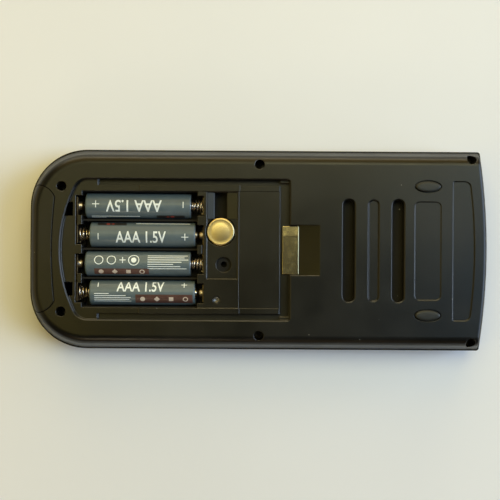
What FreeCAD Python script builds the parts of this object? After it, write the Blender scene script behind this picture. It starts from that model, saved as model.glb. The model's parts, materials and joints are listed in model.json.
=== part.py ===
"""Handheld electronic chess computer, lying on its front with the battery door taken off.

Frame: origin on the table under the middle of the case, +X towards the display end,
+Y across the case, +Z up out of the back.  All sizes are in millimetres.
"""
import FreeCAD, Part
import math
import os
import re

import Sketcher

Vector = FreeCAD.Vector
Constraint = Sketcher.Constraint
UP = Vector(0, 0, 1)
SIDES = ((1, "upper"), (-1, "lower"))

# Driving dimensions, in the order in which they add up along X, Y and Z
SIZES = {
    # along the case, from the grip end to the display end
    "left_margin": 15.4,
    "strip_length": 5.9,
    "contact_depth": 2.6,
    "cell_length": 44.5,
    "spring_room": 3.0,
    "coin_zone_length": 13.9,
    "zone_rib": 0.9,
    "panel_length": 16.0,
    "panel_rib": 0.5,
    "trench_width": 3.9,
    "latch_seat": 3.8,
    "ramp_length": 8.6,
    "slot_gap": 9.5,
    "slot_width": 4.6,
    "slot_pitch": 10.1,
    "side_panel_gap": 4.5,
    "side_panel_width": 10.5,
    "end_gap": 5.1,
    "end_recess_width": 8.7,
    "right_margin": 8.5,
    # across the case, from the middle outwards
    "cell_diameter": 10.5,
    "rib_thickness": 0.8,
    "rib_clear": 0.35,
    "rib_rise": 3.0,
    "side_ledge": 4.7,
    "side_trench": 2.3,
    # through the case, from the table upwards
    "key_field_depth": 1.4,
    "key_wall": 1.8,
    "seat_gap": 0.05,
    "key_flange": 1.2,
    "key_travel": 0.8,
    "dome_gap": 0.1,
    "dome_height": 0.7,
    "mat_thickness": 1.2,
    "board_thickness": 1.6,
    "component_room": 2.0,
    "bay_floor": 1.6,
    "cell_seat_gap": 0.2,
    "cell_cover_gap": 0.6,
    "recess_depth": 2.4,
    # case shells
    "parting_room": 3.15,
    "front_wall": 2.2,
    "side_wall": 2.0,
    "back_wall": 2.0,
    "shoulder": 0.5,
    "rear_taper": 12.9,
    "front_taper": 9.0,
    "left_bulge": 0.6,
    "right_bulge": 3.3,
    "left_corner": 24.5,
    "right_corner": 1.2,
    "back_round": 4.0,
    "front_round": 2.0,
    "block_wall": 1.2,
    # door recess
    "recess_bulge": 7.6,
    "recess_left_corner": 6.0,
    "recess_right_corner": 1.2,
    "trench_depth": 2.0,
    "trench_start": 6.5,
    "tab_hole_length": 3.2,
    "tab_hole_width": 5.7,
    "tab_hole_spread": 32.9,
    "tab_hole_rise": 1.2,
    "rail_height": 0.4,
    "rail_inset": 23.5,
    # finger notch and latch plate
    "notch_width": 20.6,
    "notch_depth": 3.0,
    "latch_width": 19.7,
    "latch_length": 6.6,
    "latch_thickness": 0.5,
    # features of the back
    "slot_length": 41.7,
    "slot_depth": 5.0,
    "label_width": 3.8,
    "label_length": 41.0,
    "label_depth": 0.8,
    "rim_bevel": 0.45,
    "fine_bevel": 0.2,
    "side_panel_length": 40.0,
    "panel_depth": 0.35,
    "panel_corner": 2.0,
    "end_recess_length": 56.8,
    "end_recess_depth": 0.6,
    "end_recess_bulge": 1.9,
    "end_recess_left_corner": 0.6,
    "end_recess_corner": 2.5,
    "foot_length": 10.9,
    "foot_width": 4.9,
    "foot_seat": 1.0,
    "foot_clear": 0.1,
    "foot_height": 1.7,
    "foot_spread": 52.6,
    "foot_round": 0.5,
    "grip_gap": 1.8,
    "grip_width": 52.0,
    "grip_corner": 8.0,
    "grip_waist": 1.8,
    "grip_thickness": 1.2,
    "grip_foot": 2.0,
    # case screws
    "screw_recess_offset": 0.5,
    "screw_left_inset": 16.4,
    "screw_middle_inset": 7.0,
    "screw_right_inset": 9.6,
    "screw_corner_inset": 4.4,
    "boss_radius": 3.0,
    "boss_floor": 2.0,
    "bore_radius": 2.0,
    "head_radius": 1.8,
    "head_height": 1.5,
    "drive_width": 0.6,
    "drive_depth": 0.8,
    "shank_radius": 1.0,
    "shank_length": 8.0,
    "shank_clear": 0.06,
    # battery cells, springs and contacts
    "nub_radius": 1.9,
    "nub_length": 0.8,
    "cell_edge": 0.5,
    "contact_gap": 0.2,
    "plate_thickness": 0.4,
    "plate_width": 7.0,
    "plate_height": 7.6,
    "plate_slot_clear": 0.15,
    "button_radius": 1.7,
    "window_width": 8.2,
    "wire_diameter": 0.6,
    "spring_base_radius": 3.3,
    "spring_tip_radius": 2.0,
    "spring_turns": 3.0,
    "solder_tab_width": 2.4,
    # coin cell
    "coin_diameter": 11.6,
    "coin_height": 5.4,
    "coin_cap_height": 0.6,
    "coin_cap_radius": 4.6,
    "coin_edge": 0.4,
    "coin_clear": 0.35,
    "coin_sink": 1.1,
    "coin_shift": 0.1,
    "coin_from_top": 16.25,
    "coin_zone_top": 0.3,
    "coin_zone_width": 35.7,
    "coin_zone_depth": 1.2,
    "coin_plate": 0.3,
    "pry_width": 5.0,
    "pry_length": 10.7,
    "boss_bore_radius": 3.15,
    "boss_bore_depth": 1.6,
    "boss_pilot_radius": 1.25,
    "boss_pilot_depth": 4.5,
    "boss_bore_shift": 1.35,
    "boss_from_bottom": 5.9,
    # reset button
    "reset_radius": 1.35,
    "reset_round": 0.8,
    "reset_clear": 0.12,
    "reset_sink": 0.35,
    "reset_travel": 0.6,
    "reset_from_edge": 3.4,
    "reset_shift": 1.6,
    "reset_collar_radius": 2.2,
    "reset_collar_height": 1.0,
    "reset_plunger_radius": 1.2,
    "reset_plunger_height": 0.6,
    "reset_switch_side": 6.0,
    "reset_switch_height": 3.4,
    # board and what it carries
    "board_clear": 1.0,
    "board_end_inset": 9.0,
    "post_inset": 3.0,
    "post_radius": 2.2,
    "post_clear": 0.8,
    "mat_inset": 1.0,
    "board_screw_radius": 0.9,
    "board_screw_head": 1.9,
    "board_screw_head_height": 1.2,
    "board_screw_length": 5.0,
    "chip_radius": 7.0,
    "chip_height": 1.4,
    "crystal_length": 8.0,
    "crystal_width": 3.2,
    "capacitor_radius": 2.5,
    "capacitor_height": 6.0,
    "resistor_length": 2.0,
    "resistor_width": 1.25,
    "resistor_height": 0.6,
    "resistor_pitch": 3.4,
    "buzzer_radius": 8.0,
    "buzzer_height": 3.0,
    # display
    "glass_length": 60.0,
    "glass_width": 58.0,
    "glass_thickness": 2.7,
    "glass_gap": 0.1,
    "frame_wall": 1.5,
    "frame_margin": 0.4,
    "window_margin": 2.0,
    "window_thickness": 1.0,
    "window_sink": 0.5,
    "window_clear": 0.1,
    "window_lip": 4.0,
    "window_corner": 3.0,
    "zebra_width": 2.0,
    # keys
    "key_lip": 0.8,
    "key_clear": 0.2,
    "key_corner": 1.6,
    "key_round": 0.4,
    "key_height": 0.9,
    "key_field_length": 78.0,
    "key_field_width": 60.0,
    "key_field_corner": 6.0,
    "function_key_length": 6.4,
    "function_key_width": 10.0,
    "function_key_pitch": 14.0,
    "function_row_shift": 20.0,
    "arrow_key_length": 8.0,
    "arrow_key_width": 10.0,
    "arrow_reach": 13.5,
    "cursor_shift": 19.0,
    "enter_key_width": 9.0,
    "dome_radius": 2.2,
}

# Places worked out from the driving dimensions
LAYOUT = {
    "bay_length": "cell_length + spring_room",
    "case_length": "left_margin + strip_length + 2 * contact_depth + bay_length + coin_zone_length + zone_rib"
                   " + panel_length + panel_rib + trench_width + latch_seat + ramp_length + slot_gap"
                   " + slot_width + 2 * slot_pitch + side_panel_gap + side_panel_width + end_gap"
                   " + end_recess_width + right_margin",
    "x_left": "-case_length / 2",
    "x_recess_left": "x_left + left_margin",
    "x_contact_left": "x_recess_left + strip_length",
    "x_bay_left": "x_contact_left + contact_depth",
    "x_bay_right": "x_bay_left + bay_length",
    "x_contact_right": "x_bay_right + contact_depth",
    "x_coin_right": "x_contact_right + coin_zone_length",
    "x_panel_left": "x_coin_right + zone_rib",
    "x_panel_right": "x_panel_left + panel_length",
    "x_panel": "(x_panel_left + x_panel_right) / 2",
    "x_trench": "x_panel_right + panel_rib",
    "x_recess_right": "x_trench + trench_width",
    "x_ramp": "x_recess_right + latch_seat",
    "x_notch_right": "x_ramp + ramp_length",
    "x_slot_near": "x_notch_right + slot_gap + slot_width / 2",
    "x_label": "x_slot_near + slot_pitch",
    "x_slot_far": "x_label + slot_pitch",
    "x_side_panel": "x_slot_far + slot_width / 2 + side_panel_gap + side_panel_width / 2",
    "x_end_left": "x_side_panel + side_panel_width / 2 + end_gap",
    "x_end_right": "x_end_left + end_recess_width",
    "x_right": "case_length / 2",
    "x_grip_right": "x_recess_left - grip_gap",
    "cell_pitch": "cell_diameter + rib_thickness + 2 * rib_clear",
    "bay_half": "2 * cell_pitch",
    "recess_half": "bay_half + side_ledge",
    "frame_length": "glass_length + 2 * frame_wall + 2 * window_clear",
    "frame_width": "glass_width + 2 * frame_wall + 2 * window_clear",
    "board_half": "frame_width / 2 + frame_margin",
    "y_screw_middle": "board_half + board_clear + boss_radius",
    "half_width": "y_screw_middle + screw_middle_inset",
    "z_key_seat": "key_field_depth + key_wall",
    "z_dome": "z_key_seat + seat_gap + key_flange + key_travel + dome_gap",
    "z_mat": "z_dome + dome_height",
    "z_board": "z_mat + mat_thickness",
    "z_board_back": "z_board + board_thickness",
    "z_parting": "z_board_back + parting_room",
    "z_tub": "z_board_back + component_room",
    "z_bay": "z_tub + bay_floor",
    "z_cell": "z_bay + cell_seat_gap + cell_diameter / 2",
    "z_recess": "z_bay + cell_seat_gap + cell_diameter + cell_cover_gap",
    "case_height": "z_recess + recess_depth",
    "rear_depth": "case_height - z_parting",
    "x_screw_left": "x_recess_left + screw_recess_offset",
    "x_screw_right": "x_right - screw_right_inset",
    "y_screw_left": "half_width - screw_left_inset",
    "y_screw_right": "half_width - screw_corner_inset",
    "z_head": "z_parting + boss_floor",
    "x_coin": "(x_contact_right + x_coin_right) / 2 - coin_shift",
    "y_coin_top": "bay_half - coin_zone_top",
    "y_coin_bottom": "y_coin_top - coin_zone_width",
    "y_coin": "y_coin_top - coin_from_top",
    "z_coin_zone": "z_recess - coin_zone_depth",
    "z_coin_top": "z_recess - coin_sink",
    "z_coin_plate": "z_coin_top - coin_height - contact_gap - coin_plate",
    "x_boss_bore": "x_coin + boss_bore_shift",
    "y_boss_bore": "y_coin_bottom + boss_from_bottom",
    "x_reset": "(x_contact_right + x_coin_right) / 2 - reset_shift",
    "y_reset": "-bay_half + reset_from_edge",
    "z_reset_top": "z_recess - reset_sink",
    "z_reset_switch": "z_board_back + reset_switch_height",
    "z_reset_pin": "z_reset_switch + reset_plunger_height + reset_travel + contact_gap",
    "board_left": "x_screw_left + boss_radius + board_clear",
    "board_right": "x_right - board_end_inset",
    "x_post_left": "board_left + post_inset",
    "x_post_right": "board_right - post_inset",
    "y_post": "board_half - post_inset",
    "x_display": "x_post_right - post_radius - post_clear - frame_length / 2",
    "x_post_middle": "x_display - frame_length / 2 - post_clear - post_radius",
    "x_mat_left": "x_post_left + post_radius + post_clear",
    "x_mat_right": "x_post_middle - post_radius - post_clear",
    "x_mat": "(x_mat_left + x_mat_right) / 2",
    "mat_half": "board_half - mat_inset",
    "z_glass": "front_wall + glass_gap",
    "z_glass_back": "z_glass + glass_thickness",
    "window_length": "glass_length + 2 * window_margin",
    "window_width_outer": "glass_width + 2 * window_margin",
    "x_cursor": "x_mat - cursor_shift",
    "x_function": "x_mat + function_row_shift",
    "x_plate_left": "x_contact_left + plate_slot_clear",
    "x_plate_right": "x_contact_right - plate_slot_clear - plate_thickness",
    "z_plate": "z_cell - plate_height / 2",
    "button_length": "contact_depth - plate_slot_clear - plate_thickness",
    "spring_length": "contact_depth - plate_slot_clear - plate_thickness + spring_room - 3 * contact_gap",
}

doc = FreeCAD.newDocument("chess_computer")
sheet = doc.addObject("Spreadsheet::Sheet", "dims")
for row, (alias, value) in enumerate(SIZES.items(), start=1):
    sheet.set(f"A{row}", alias)
    sheet.set(f"B{row}", str(value))
    sheet.setAlias(f"B{row}", alias)
layout = doc.addObject("App::VarSet", "layout")
nodes = []


def linked(text):
    """Point each size or place named in an expression at the object that holds it."""
    def holder(match):
        word = match.group(0)
        if word in SIZES:
            return f"dims.{word}"
        return f"layout.{word}" if word in LAYOUT else word
    return re.sub(r"[a-z][a-z_0-9]*", holder, text)


def bind(item, **expressions):
    """Tie properties to expressions; a double underscore stands for a dot."""
    for name, text in expressions.items():
        item.setExpression(name.replace("__", "."), linked(str(text)))


def place(item, x=0, y=0, z=0):
    bind(item, Placement__Base__x=x, Placement__Base__y=y, Placement__Base__z=z)
    return item


def value_of(text):
    """The present value of a size, a place or a sum of them."""
    return float(layout.evalExpression(linked(str(text))))


for alias, text in LAYOUT.items():
    layout.addProperty("App::PropertyFloat", alias)
    layout.setExpression(alias, linked(text))
doc.recompute()


def named(kind, label):
    item = doc.addObject(kind, label)
    item.Label = label
    return item


def node(item):
    """Mark a finished piece, which gets a file of its own."""
    nodes.append(item)
    return item


def box(label, length, width, height, x=0, y=0, z=0):
    """A block centred on x and y that stands on z."""
    item = named("Part::Box", label)
    bind(item, Length=length, Width=width, Height=height)
    return place(item, f"{x} - ({length}) / 2", f"{y} - ({width}) / 2", z)


def span(label, x_from, x_to, y_from, y_to, z_from, z_to):
    """A block between two corners."""
    item = named("Part::Box", label)
    bind(item, Length=f"{x_to} - ({x_from})", Width=f"{y_to} - ({y_from})", Height=f"{z_to} - ({z_from})")
    return place(item, x_from, y_from, z_from)


def cylinder(label, radius, height, x=0, y=0, z=0, along_x=False):
    item = named("Part::Cylinder", label)
    if along_x:
        item.Placement = FreeCAD.Placement(Vector(), FreeCAD.Rotation(Vector(0, 1, 0), 90))
    bind(item, Radius=radius, Height=height)
    return place(item, x, y, z)


def joined(label, shapes):
    item = named("Part::MultiFuse", label)
    item.Shapes = shapes
    return item


def group(label, shapes):
    item = named("Part::Compound", label)
    item.Links = shapes
    return item


def cut(label, base, tool):
    item = named("Part::Cut", label)
    item.Base = base
    item.Tool = tool
    return item


def common(label, base, tool):
    item = named("Part::Common", label)
    item.Base = base
    item.Tool = tool
    return item


def new_sketch(body, label, role="XY_Plane"):
    plane = next(item for item in body.Origin.OriginFeatures if item.Role == role)
    sketch = body.newObject("Sketcher::SketchObject", label)
    sketch.AttachmentSupport = [(plane, "")]
    sketch.MapMode = "FlatFace"
    return sketch


def measure(sketch, kind, name, *arguments):
    """Add a dimension to a sketch; the last argument is the expression that drives it."""
    *target, text = arguments
    index = sketch.addConstraint(Constraint(kind, *target, value_of(text)))
    sketch.renameConstraint(index, name)
    sketch.setExpression(f"Constraints.{name}", linked(text))


def close_loop(sketch, corners):
    for corner in corners:
        sketch.addConstraint(Constraint("Coincident", *corner))


def rise_edges(shape, keep=lambda edge: True):
    """Names of the edges that climb from one end of a pad to the other."""
    names = []
    for index, edge in enumerate(shape.Edges, start=1):
        ends = [vertex.Z for vertex in edge.Vertexes]
        if max(ends) - min(ends) > 0.5 * shape.BoundBox.ZLength and keep(edge):
            names.append(f"Edge{index}")
    return names


def level_edges(shape, level):
    """Names of the edges that lie flat at one height."""
    names = []
    for index, edge in enumerate(shape.Edges, start=1):
        if all(abs(vertex.Z - level) < 1e-4 for vertex in edge.Vertexes):
            names.append(f"Edge{index}")
    return names


def pad(body, label, sketch, height, taper=None, down=False):
    feature = body.newObject("PartDesign::Pad", label)
    feature.Profile = sketch
    feature.Reversed = down
    bind(feature, Length=height)
    if taper:
        bind(feature, TaperAngle=f"-({taper})")
    doc.recompute()
    return feature


def rounded(body, label, feature, edges, radius):
    fillet = body.newObject("PartDesign::Fillet", label)
    fillet.Base = (feature, edges)
    bind(fillet, Radius=radius)
    doc.recompute()
    return fillet


def rounded_block(label, length, width, height, corner, x=0, y=0, z=0, top_round=None, bottom_round=None):
    """A block with rounded upright edges, centred on x and y, that stands on z."""
    body = named("PartDesign::Body", label)
    sketch = new_sketch(body, f"{label}_outline")
    across, along = value_of(length) / 2, value_of(width) / 2
    corners = [Vector(-across, -along, 0), Vector(across, -along, 0),
               Vector(across, along, 0), Vector(-across, along, 0)]
    for index in range(4):
        sketch.addGeometry(Part.LineSegment(corners[index], corners[(index + 1) % 4]))
    close_loop(sketch, [(index, 2, (index + 1) % 4, 1) for index in range(4)])
    for index in range(4):
        sketch.addConstraint(Constraint("Vertical" if index % 2 else "Horizontal", index))
    sketch.addConstraint(Constraint("Symmetric", 0, 1, 2, 1, -1, 1))
    measure(sketch, "DistanceX", "length", 0, 1, 0, 2, length)
    measure(sketch, "DistanceY", "width", 1, 1, 1, 2, width)
    block = pad(body, f"{label}_pad", sketch, height)
    block = rounded(body, f"{label}_round", block, rise_edges(block.Shape), corner)
    if top_round:
        block = rounded(body, f"{label}_top", block, level_edges(block.Shape, value_of(height)), top_round)
    if bottom_round:
        rounded(body, f"{label}_bottom", block, level_edges(block.Shape, 0), bottom_round)
    return place(body, x, y, z)


def long_hole(label, width, length, height, x, z):
    """A cutting block across the case with fully rounded ends, that stands on z."""
    reach = f"({length} - ({width})) / 2"
    ends = [cylinder(f"{label}_end_{name}", f"({width}) / 2", height, x, f"{side} * {reach}", z)
            for side, name in SIDES]
    return joined(label, [box(f"{label}_middle", width, f"2 * {reach}", height, x, 0, z)] + ends)


def oval(label, length, width, height, x, y, z, top_round=None):
    """An elliptical block that stands on z."""
    body = named("PartDesign::Body", label)
    sketch = new_sketch(body, f"{label}_outline")
    sketch.addGeometry(Part.Ellipse(Vector(value_of(length) / 2, 0, 0), Vector(0, value_of(width) / 2, 0),
                                    Vector()))
    sketch.exposeInternalGeometry(0)
    sketch.addConstraint(Constraint("Coincident", 0, 3, -1, 1))
    sketch.addConstraint(Constraint("Horizontal", 1))
    measure(sketch, "Distance", "length", 1, length)
    measure(sketch, "Distance", "width", 2, width)
    block = pad(body, f"{label}_pad", sketch, height)
    if top_round:
        rounded(body, f"{label}_top", block, level_edges(block.Shape, value_of(height)), top_round)
    return place(body, x, y, z)


def bevelled(body, label, feature, edges, size):
    bevel = body.newObject("PartDesign::Chamfer", label)
    bevel.Base = (feature, edges)
    bind(bevel, Size=size)
    doc.recompute()
    return bevel


def round_pad(body, label, radius, height, role="XY_Plane"):
    """A round bar that grows from one of its body's planes."""
    sketch = new_sketch(body, f"{label}_outline", role)
    sketch.addGeometry(Part.Circle(Vector(), UP, value_of(radius)))
    sketch.addConstraint(Constraint("Coincident", 0, 3, -1, 1))
    measure(sketch, "Radius", "radius", 0, radius)
    return pad(body, label, sketch, height)


def capped_bar(label, radius, height, top_round, x, y, z):
    """An upright round bar whose top edge is rounded."""
    body = named("PartDesign::Body", label)
    bar = round_pad(body, f"{label}_pad", radius, height)
    rounded(body, f"{label}_top", bar, level_edges(bar.Shape, value_of(height)), top_round)
    return place(body, x, y, z)


def bulged_outline(body, label, left, right, half, left_bulge=None, right_bulge=None):
    """A closed outline with straight long sides and ends that are bowed outwards or straight."""
    sketch = new_sketch(body, label)
    y_top = value_of(half)
    ends = {1: (value_of(right), right_bulge), -1: (value_of(left), left_bulge)}
    corner_x = {side: apex - side * value_of(bulge or 0) for side, (apex, bulge) in ends.items()}

    def bow_radius(bulge):
        return f"(({half})^2 + ({bulge})^2) / (2 * ({bulge}))"

    def add_end(side):
        apex, bulge = ends[side]
        if not bulge:
            low, high = (Vector(corner_x[side], sign * y_top, 0) for sign in (-side, side))
            sketch.addGeometry(Part.LineSegment(low, high))
            return
        radius = value_of(bow_radius(bulge))
        middle = 0 if side > 0 else math.pi
        swing = math.asin(y_top / radius)
        circle = Part.Circle(Vector(apex - side * radius, 0, 0), UP, radius)
        sketch.addGeometry(Part.ArcOfCircle(circle, middle - swing, middle + swing))

    sketch.addGeometry(Part.LineSegment(Vector(corner_x[-1], y_top, 0), Vector(corner_x[1], y_top, 0)))
    add_end(1)
    sketch.addGeometry(Part.LineSegment(Vector(corner_x[1], -y_top, 0), Vector(corner_x[-1], -y_top, 0)))
    add_end(-1)
    close_loop(sketch, [(0, 2, 1, 2), (1, 1, 2, 1), (2, 2, 3, 2), (3, 1, 0, 1)])
    sketch.addConstraint(Constraint("Horizontal", 0))
    sketch.addConstraint(Constraint("Horizontal", 2))
    for index, name, bulge in ((1, "right_radius", right_bulge), (3, "left_radius", left_bulge)):
        if bulge:
            sketch.addConstraint(Constraint("PointOnObject", index, 3, -1))
            measure(sketch, "Radius", name, index, bow_radius(bulge))
        else:
            sketch.addConstraint(Constraint("Vertical", index))
    measure(sketch, "DistanceX", "right_side", 0, 2, f"{right} - ({right_bulge or 0})")
    measure(sketch, "DistanceX", "left_side", 0, 1, f"{left} + {left_bulge or 0}")
    measure(sketch, "DistanceY", "upper_side", 0, 2, half)
    measure(sketch, "DistanceY", "lower_side", 2, 2, f"-({half})")
    return sketch


def end_rim(shape):
    """Names of the edges round the end face towards +X, without the one on the parting plane."""
    end = max(shape.Faces, key=lambda face: face.CenterOfMass.x)
    names = []
    for index, edge in enumerate(shape.Edges, start=1):
        off_parting = any(abs(vertex.Z) > 1e-4 for vertex in edge.Vertexes)
        if off_parting and any(edge.isSame(other) for other in end.Edges):
            names.append(f"Edge{index}")
    return names


def case_form(label, inset, height, taper, edge_round=None, down=False):
    """The outer form of the case on one side of the parting plane, drawn in by an inset."""
    body = named("PartDesign::Body", label)
    sketch = bulged_outline(body, f"{label}_outline", f"x_left + {inset}", f"x_right - ({inset})",
                            f"half_width - ({inset})", "left_bulge", "right_bulge")
    form = pad(body, f"{label}_pad", sketch, height, taper, down)
    left = rise_edges(form.Shape, lambda edge: edge.CenterOfMass.x < 0)
    form = rounded(body, f"{label}_left", form, left, f"left_corner - ({inset})")
    if edge_round:
        shape = form.Shape
        level = value_of(height) * (-1 if down else 1)
        rolled = [name for name in level_edges(shape, level)
                  if shape.getElement(name).CenterOfMass.x < value_of("x_end_left")]
        form = rounded(body, f"{label}_edge", form, rolled, edge_round)
    rounded(body, f"{label}_right", form, end_rim(form.Shape), "right_corner")
    return place(body, z="z_parting")


def sunk_outline(label, left, right, half, height, z, left_end, right_end):
    """A cutting block that stands on z; each end is a pair of its bow, or None, and its corner radius."""
    body = named("PartDesign::Body", label)
    sketch = bulged_outline(body, f"{label}_outline", left, right, half, left_end[0], right_end[0])
    form = pad(body, f"{label}_pad", sketch, height)
    middle = (value_of(left) + value_of(right)) / 2
    left_edges = rise_edges(form.Shape, lambda edge: edge.CenterOfMass.x < middle)
    form = rounded(body, f"{label}_left", form, left_edges, left_end[1])
    corner_x = value_of(f"{right} - ({right_end[0] or 0})")
    right_edges = rise_edges(form.Shape, lambda edge: abs(edge.CenterOfMass.x - corner_x) < 1e-3)
    rounded(body, f"{label}_right", form, right_edges, right_end[1])
    return place(body, z=z)


CELL_ROWS = {1: "1.5 * cell_pitch", 2: "0.5 * cell_pitch", 3: "-0.5 * cell_pitch", 4: "-1.5 * cell_pitch"}
SCREW_PLACES = [("x_screw_left", "y_screw_left"), ("x_panel", "y_screw_middle"),
                ("x_screw_right", "y_screw_right")]
POST_PLACES = ["x_post_left", "x_post_middle", "x_post_right"]


def screw_points():
    for place_name, (x, y) in enumerate(SCREW_PLACES):
        for side, side_name in SIDES:
            yield f"{side_name}_{place_name}", x, f"{side} * {y}"


def post_points():
    for number, x in enumerate(POST_PLACES):
        for side, side_name in SIDES:
            yield f"{side_name}_{number}", x, f"{side} * y_post"


# Rear half of the case: a hollow shell with the blocks that stand inside it
rear_form = case_form("rear_form", "shoulder", "rear_depth", "rear_taper", "back_round")
rear_hollow = case_form("rear_hollow", "shoulder + side_wall", "rear_depth - back_wall", "rear_taper")
rear_shell = cut("rear_shell", rear_form, rear_hollow)
BLOCK_TOP = "case_height - back_wall / 2"
TRAY_FLOOR = "z_recess - trench_depth - block_wall"
rear_blocks = [
    span("tray_block", "x_recess_left - block_wall", "x_recess_right + block_wall",
         "-recess_half - block_wall", "recess_half + block_wall", TRAY_FLOOR, BLOCK_TOP),
    span("coin_block", "x_contact_right", "x_panel_left", "y_coin_bottom - block_wall",
         "y_coin_top + block_wall", "z_coin_plate - block_wall", BLOCK_TOP),
    span("notch_block", "x_recess_right", "x_notch_right", "-notch_width / 2 - block_wall",
         "notch_width / 2 + block_wall", "case_height - notch_depth - block_wall", BLOCK_TOP),
]
for name, x in (("near", "x_slot_near"), ("far", "x_slot_far")):
    rear_blocks.append(box(f"slot_block_{name}", "slot_width + 2 * block_wall",
                           "slot_length + 2 * block_wall", "slot_depth + block_wall - back_wall / 2", x, 0,
                           "case_height - slot_depth - block_wall"))
for name, x, y in screw_points():
    rear_blocks.append(cylinder(f"rear_boss_{name}", "bore_radius + block_wall",
                                "rear_depth - back_wall / 2", x, y, "z_parting"))
rear_inside = common("rear_inside", joined("rear_blocks", rear_blocks), rear_form)
cell_tub = span("cell_tub", "x_contact_left - block_wall", "x_contact_right + block_wall",
                "-bay_half - block_wall", "bay_half + block_wall", "z_tub", "z_recess")
rear_solid = joined("rear_solid", [rear_shell, rear_inside, cell_tub])

# Hollows of the door recess
recess_cuts = [
    sunk_outline("door_recess", "x_recess_left", "x_recess_right", "recess_half", "2 * recess_depth",
                 "z_recess", ("recess_bulge", "recess_left_corner"), (None, "recess_right_corner")),
    span("trench_end", "x_trench", "x_recess_right", "-recess_half + recess_right_corner",
         "recess_half - recess_right_corner", "z_recess - trench_depth", "case_height"),
    span("bay_top", "x_bay_left", "x_bay_right", "-bay_half", "bay_half", "z_cell + rib_rise",
         "case_height"),
    span("latch_seat_cut", "x_trench", "x_ramp", "-notch_width / 2", "notch_width / 2",
         "case_height - notch_depth", "2 * case_height"),
    span("coin_zone_cut", "x_contact_right + block_wall", "x_coin_right", "y_coin_bottom", "y_coin_top",
         "z_coin_zone", "case_height"),
    cylinder("coin_pocket", "coin_diameter / 2 + coin_clear", "case_height - z_coin_plate",
             "x_coin", "y_coin", "z_coin_plate"),
    span("pry_slot", "x_coin - pry_width / 2", "x_coin + pry_width / 2", "y_coin_top - pry_length",
         "y_coin_top", "z_coin_plate + coin_plate", "case_height"),
    cylinder("boss_bore", "boss_bore_radius", "recess_depth + boss_bore_depth", "x_boss_bore",
             "y_boss_bore", "z_coin_zone - boss_bore_depth"),
    cylinder("boss_pilot", "boss_pilot_radius", "boss_pilot_depth + boss_bore_depth", "x_boss_bore",
             "y_boss_bore", "z_coin_zone - boss_bore_depth - boss_pilot_depth"),
    cylinder("reset_hole", "reset_radius + reset_clear", "case_height - z_parting", "x_reset", "y_reset",
             "z_parting"),
]
ramp = named("Part::Wedge", "finger_ramp")
ramp.Placement = FreeCAD.Placement(Vector(), FreeCAD.Rotation(UP, -90))
bind(ramp, Xmin="-notch_width / 2", Xmax="notch_width / 2", X2min="-notch_width / 2",
     X2max="notch_width / 2",
     Ymin=0, Ymax="ramp_length", Zmin="-notch_depth", Zmax="recess_depth", Z2min=0, Z2max="recess_depth")
recess_cuts.append(place(ramp, "x_ramp", 0, "case_height"))
for side, name in SIDES:
    inner, outer = "recess_half - side_trench", "recess_half"
    low, high = (inner, outer) if side > 0 else (f"-({outer})", f"-({inner})")
    recess_cuts.append(span(f"trench_{name}", "x_bay_left + trench_start", "x_trench", low, high,
                            "z_recess - trench_depth", "case_height"))
    recess_cuts.append(box(f"tab_hole_{name}", "tab_hole_length", "tab_hole_width",
                           "z_recess + tab_hole_rise - z_parting",
                           "x_contact_left - block_wall - tab_hole_length / 2",
                           f"{side} * tab_hole_spread / 2", "z_parting"))

# Channels for the cells, windows for their contacts and slots for the contact plates
PLATE_SLOT = "plate_thickness + 2 * plate_slot_clear"
PLATES = {
    "contact_left_upper": ("x_plate_left", "cell_pitch", "cell_pitch + plate_width"),
    "contact_left_lower": ("x_plate_left", "-cell_pitch", "cell_pitch + plate_width"),
    "contact_right_middle": ("x_plate_right", "0", "cell_pitch + plate_width"),
    "contact_right_upper": ("x_plate_right", "1.5 * cell_pitch", "plate_width"),
    "contact_right_lower": ("x_plate_right", "-1.5 * cell_pitch", "plate_width"),
}
TABBED = ("contact_right_upper", "contact_right_lower")
for number, y in CELL_ROWS.items():
    recess_cuts.append(box(f"cell_channel_{number}", "bay_length", "cell_pitch - rib_thickness",
                           "case_height - z_bay", "(x_bay_left + x_bay_right) / 2", y, "z_bay"))
    for end, x in (("left", "x_contact_left"), ("right", "x_bay_right")):
        recess_cuts.append(box(f"contact_window_{end}_{number}", "contact_depth", "window_width",
                               "case_height - z_plate", f"{x} + contact_depth / 2", y, "z_plate"))
for name, (x, y, length) in PLATES.items():
    recess_cuts.append(box(f"slot_for_{name}", PLATE_SLOT, f"{length} + 2 * plate_slot_clear",
                           "case_height - z_plate", f"{x} + plate_thickness / 2", y, "z_plate"))
    if name in TABBED:
        recess_cuts.append(box(f"tab_slot_{name}", PLATE_SLOT, "solder_tab_width + 2 * plate_slot_clear",
                               "z_plate - z_tub + block_wall", f"{x} + plate_thickness / 2", y,
                               "z_tub - block_wall"))

# Sunk features of the back: slots, panels, foot seats and screw bores
back_cuts = [
    long_hole("label_slot", "label_width", "label_length", "2 * label_depth", "x_label",
              "case_height - label_depth"),
    rounded_block("side_panel", "side_panel_width", "side_panel_length", "2 * panel_depth", "panel_corner",
                  "x_side_panel", 0, "case_height - panel_depth"),
    sunk_outline("end_recess", "x_end_left", "x_end_right", "end_recess_length / 2", "2 * end_recess_depth",
                 "case_height - end_recess_depth", (None, "end_recess_left_corner"),
                 ("end_recess_bulge", "end_recess_corner")),
]
for name, x in (("near", "x_slot_near"), ("far", "x_slot_far")):
    back_cuts.append(long_hole(f"deep_slot_{name}", "slot_width", "slot_length", "2 * slot_depth", x,
                               "case_height - slot_depth"))
for side, name in SIDES:
    back_cuts.append(oval(f"foot_seat_{name}", "foot_length + 2 * foot_clear", "foot_width + 2 * foot_clear",
                          "2 * foot_seat", "x_side_panel", f"{side} * foot_spread / 2",
                          "case_height - foot_seat"))
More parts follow.
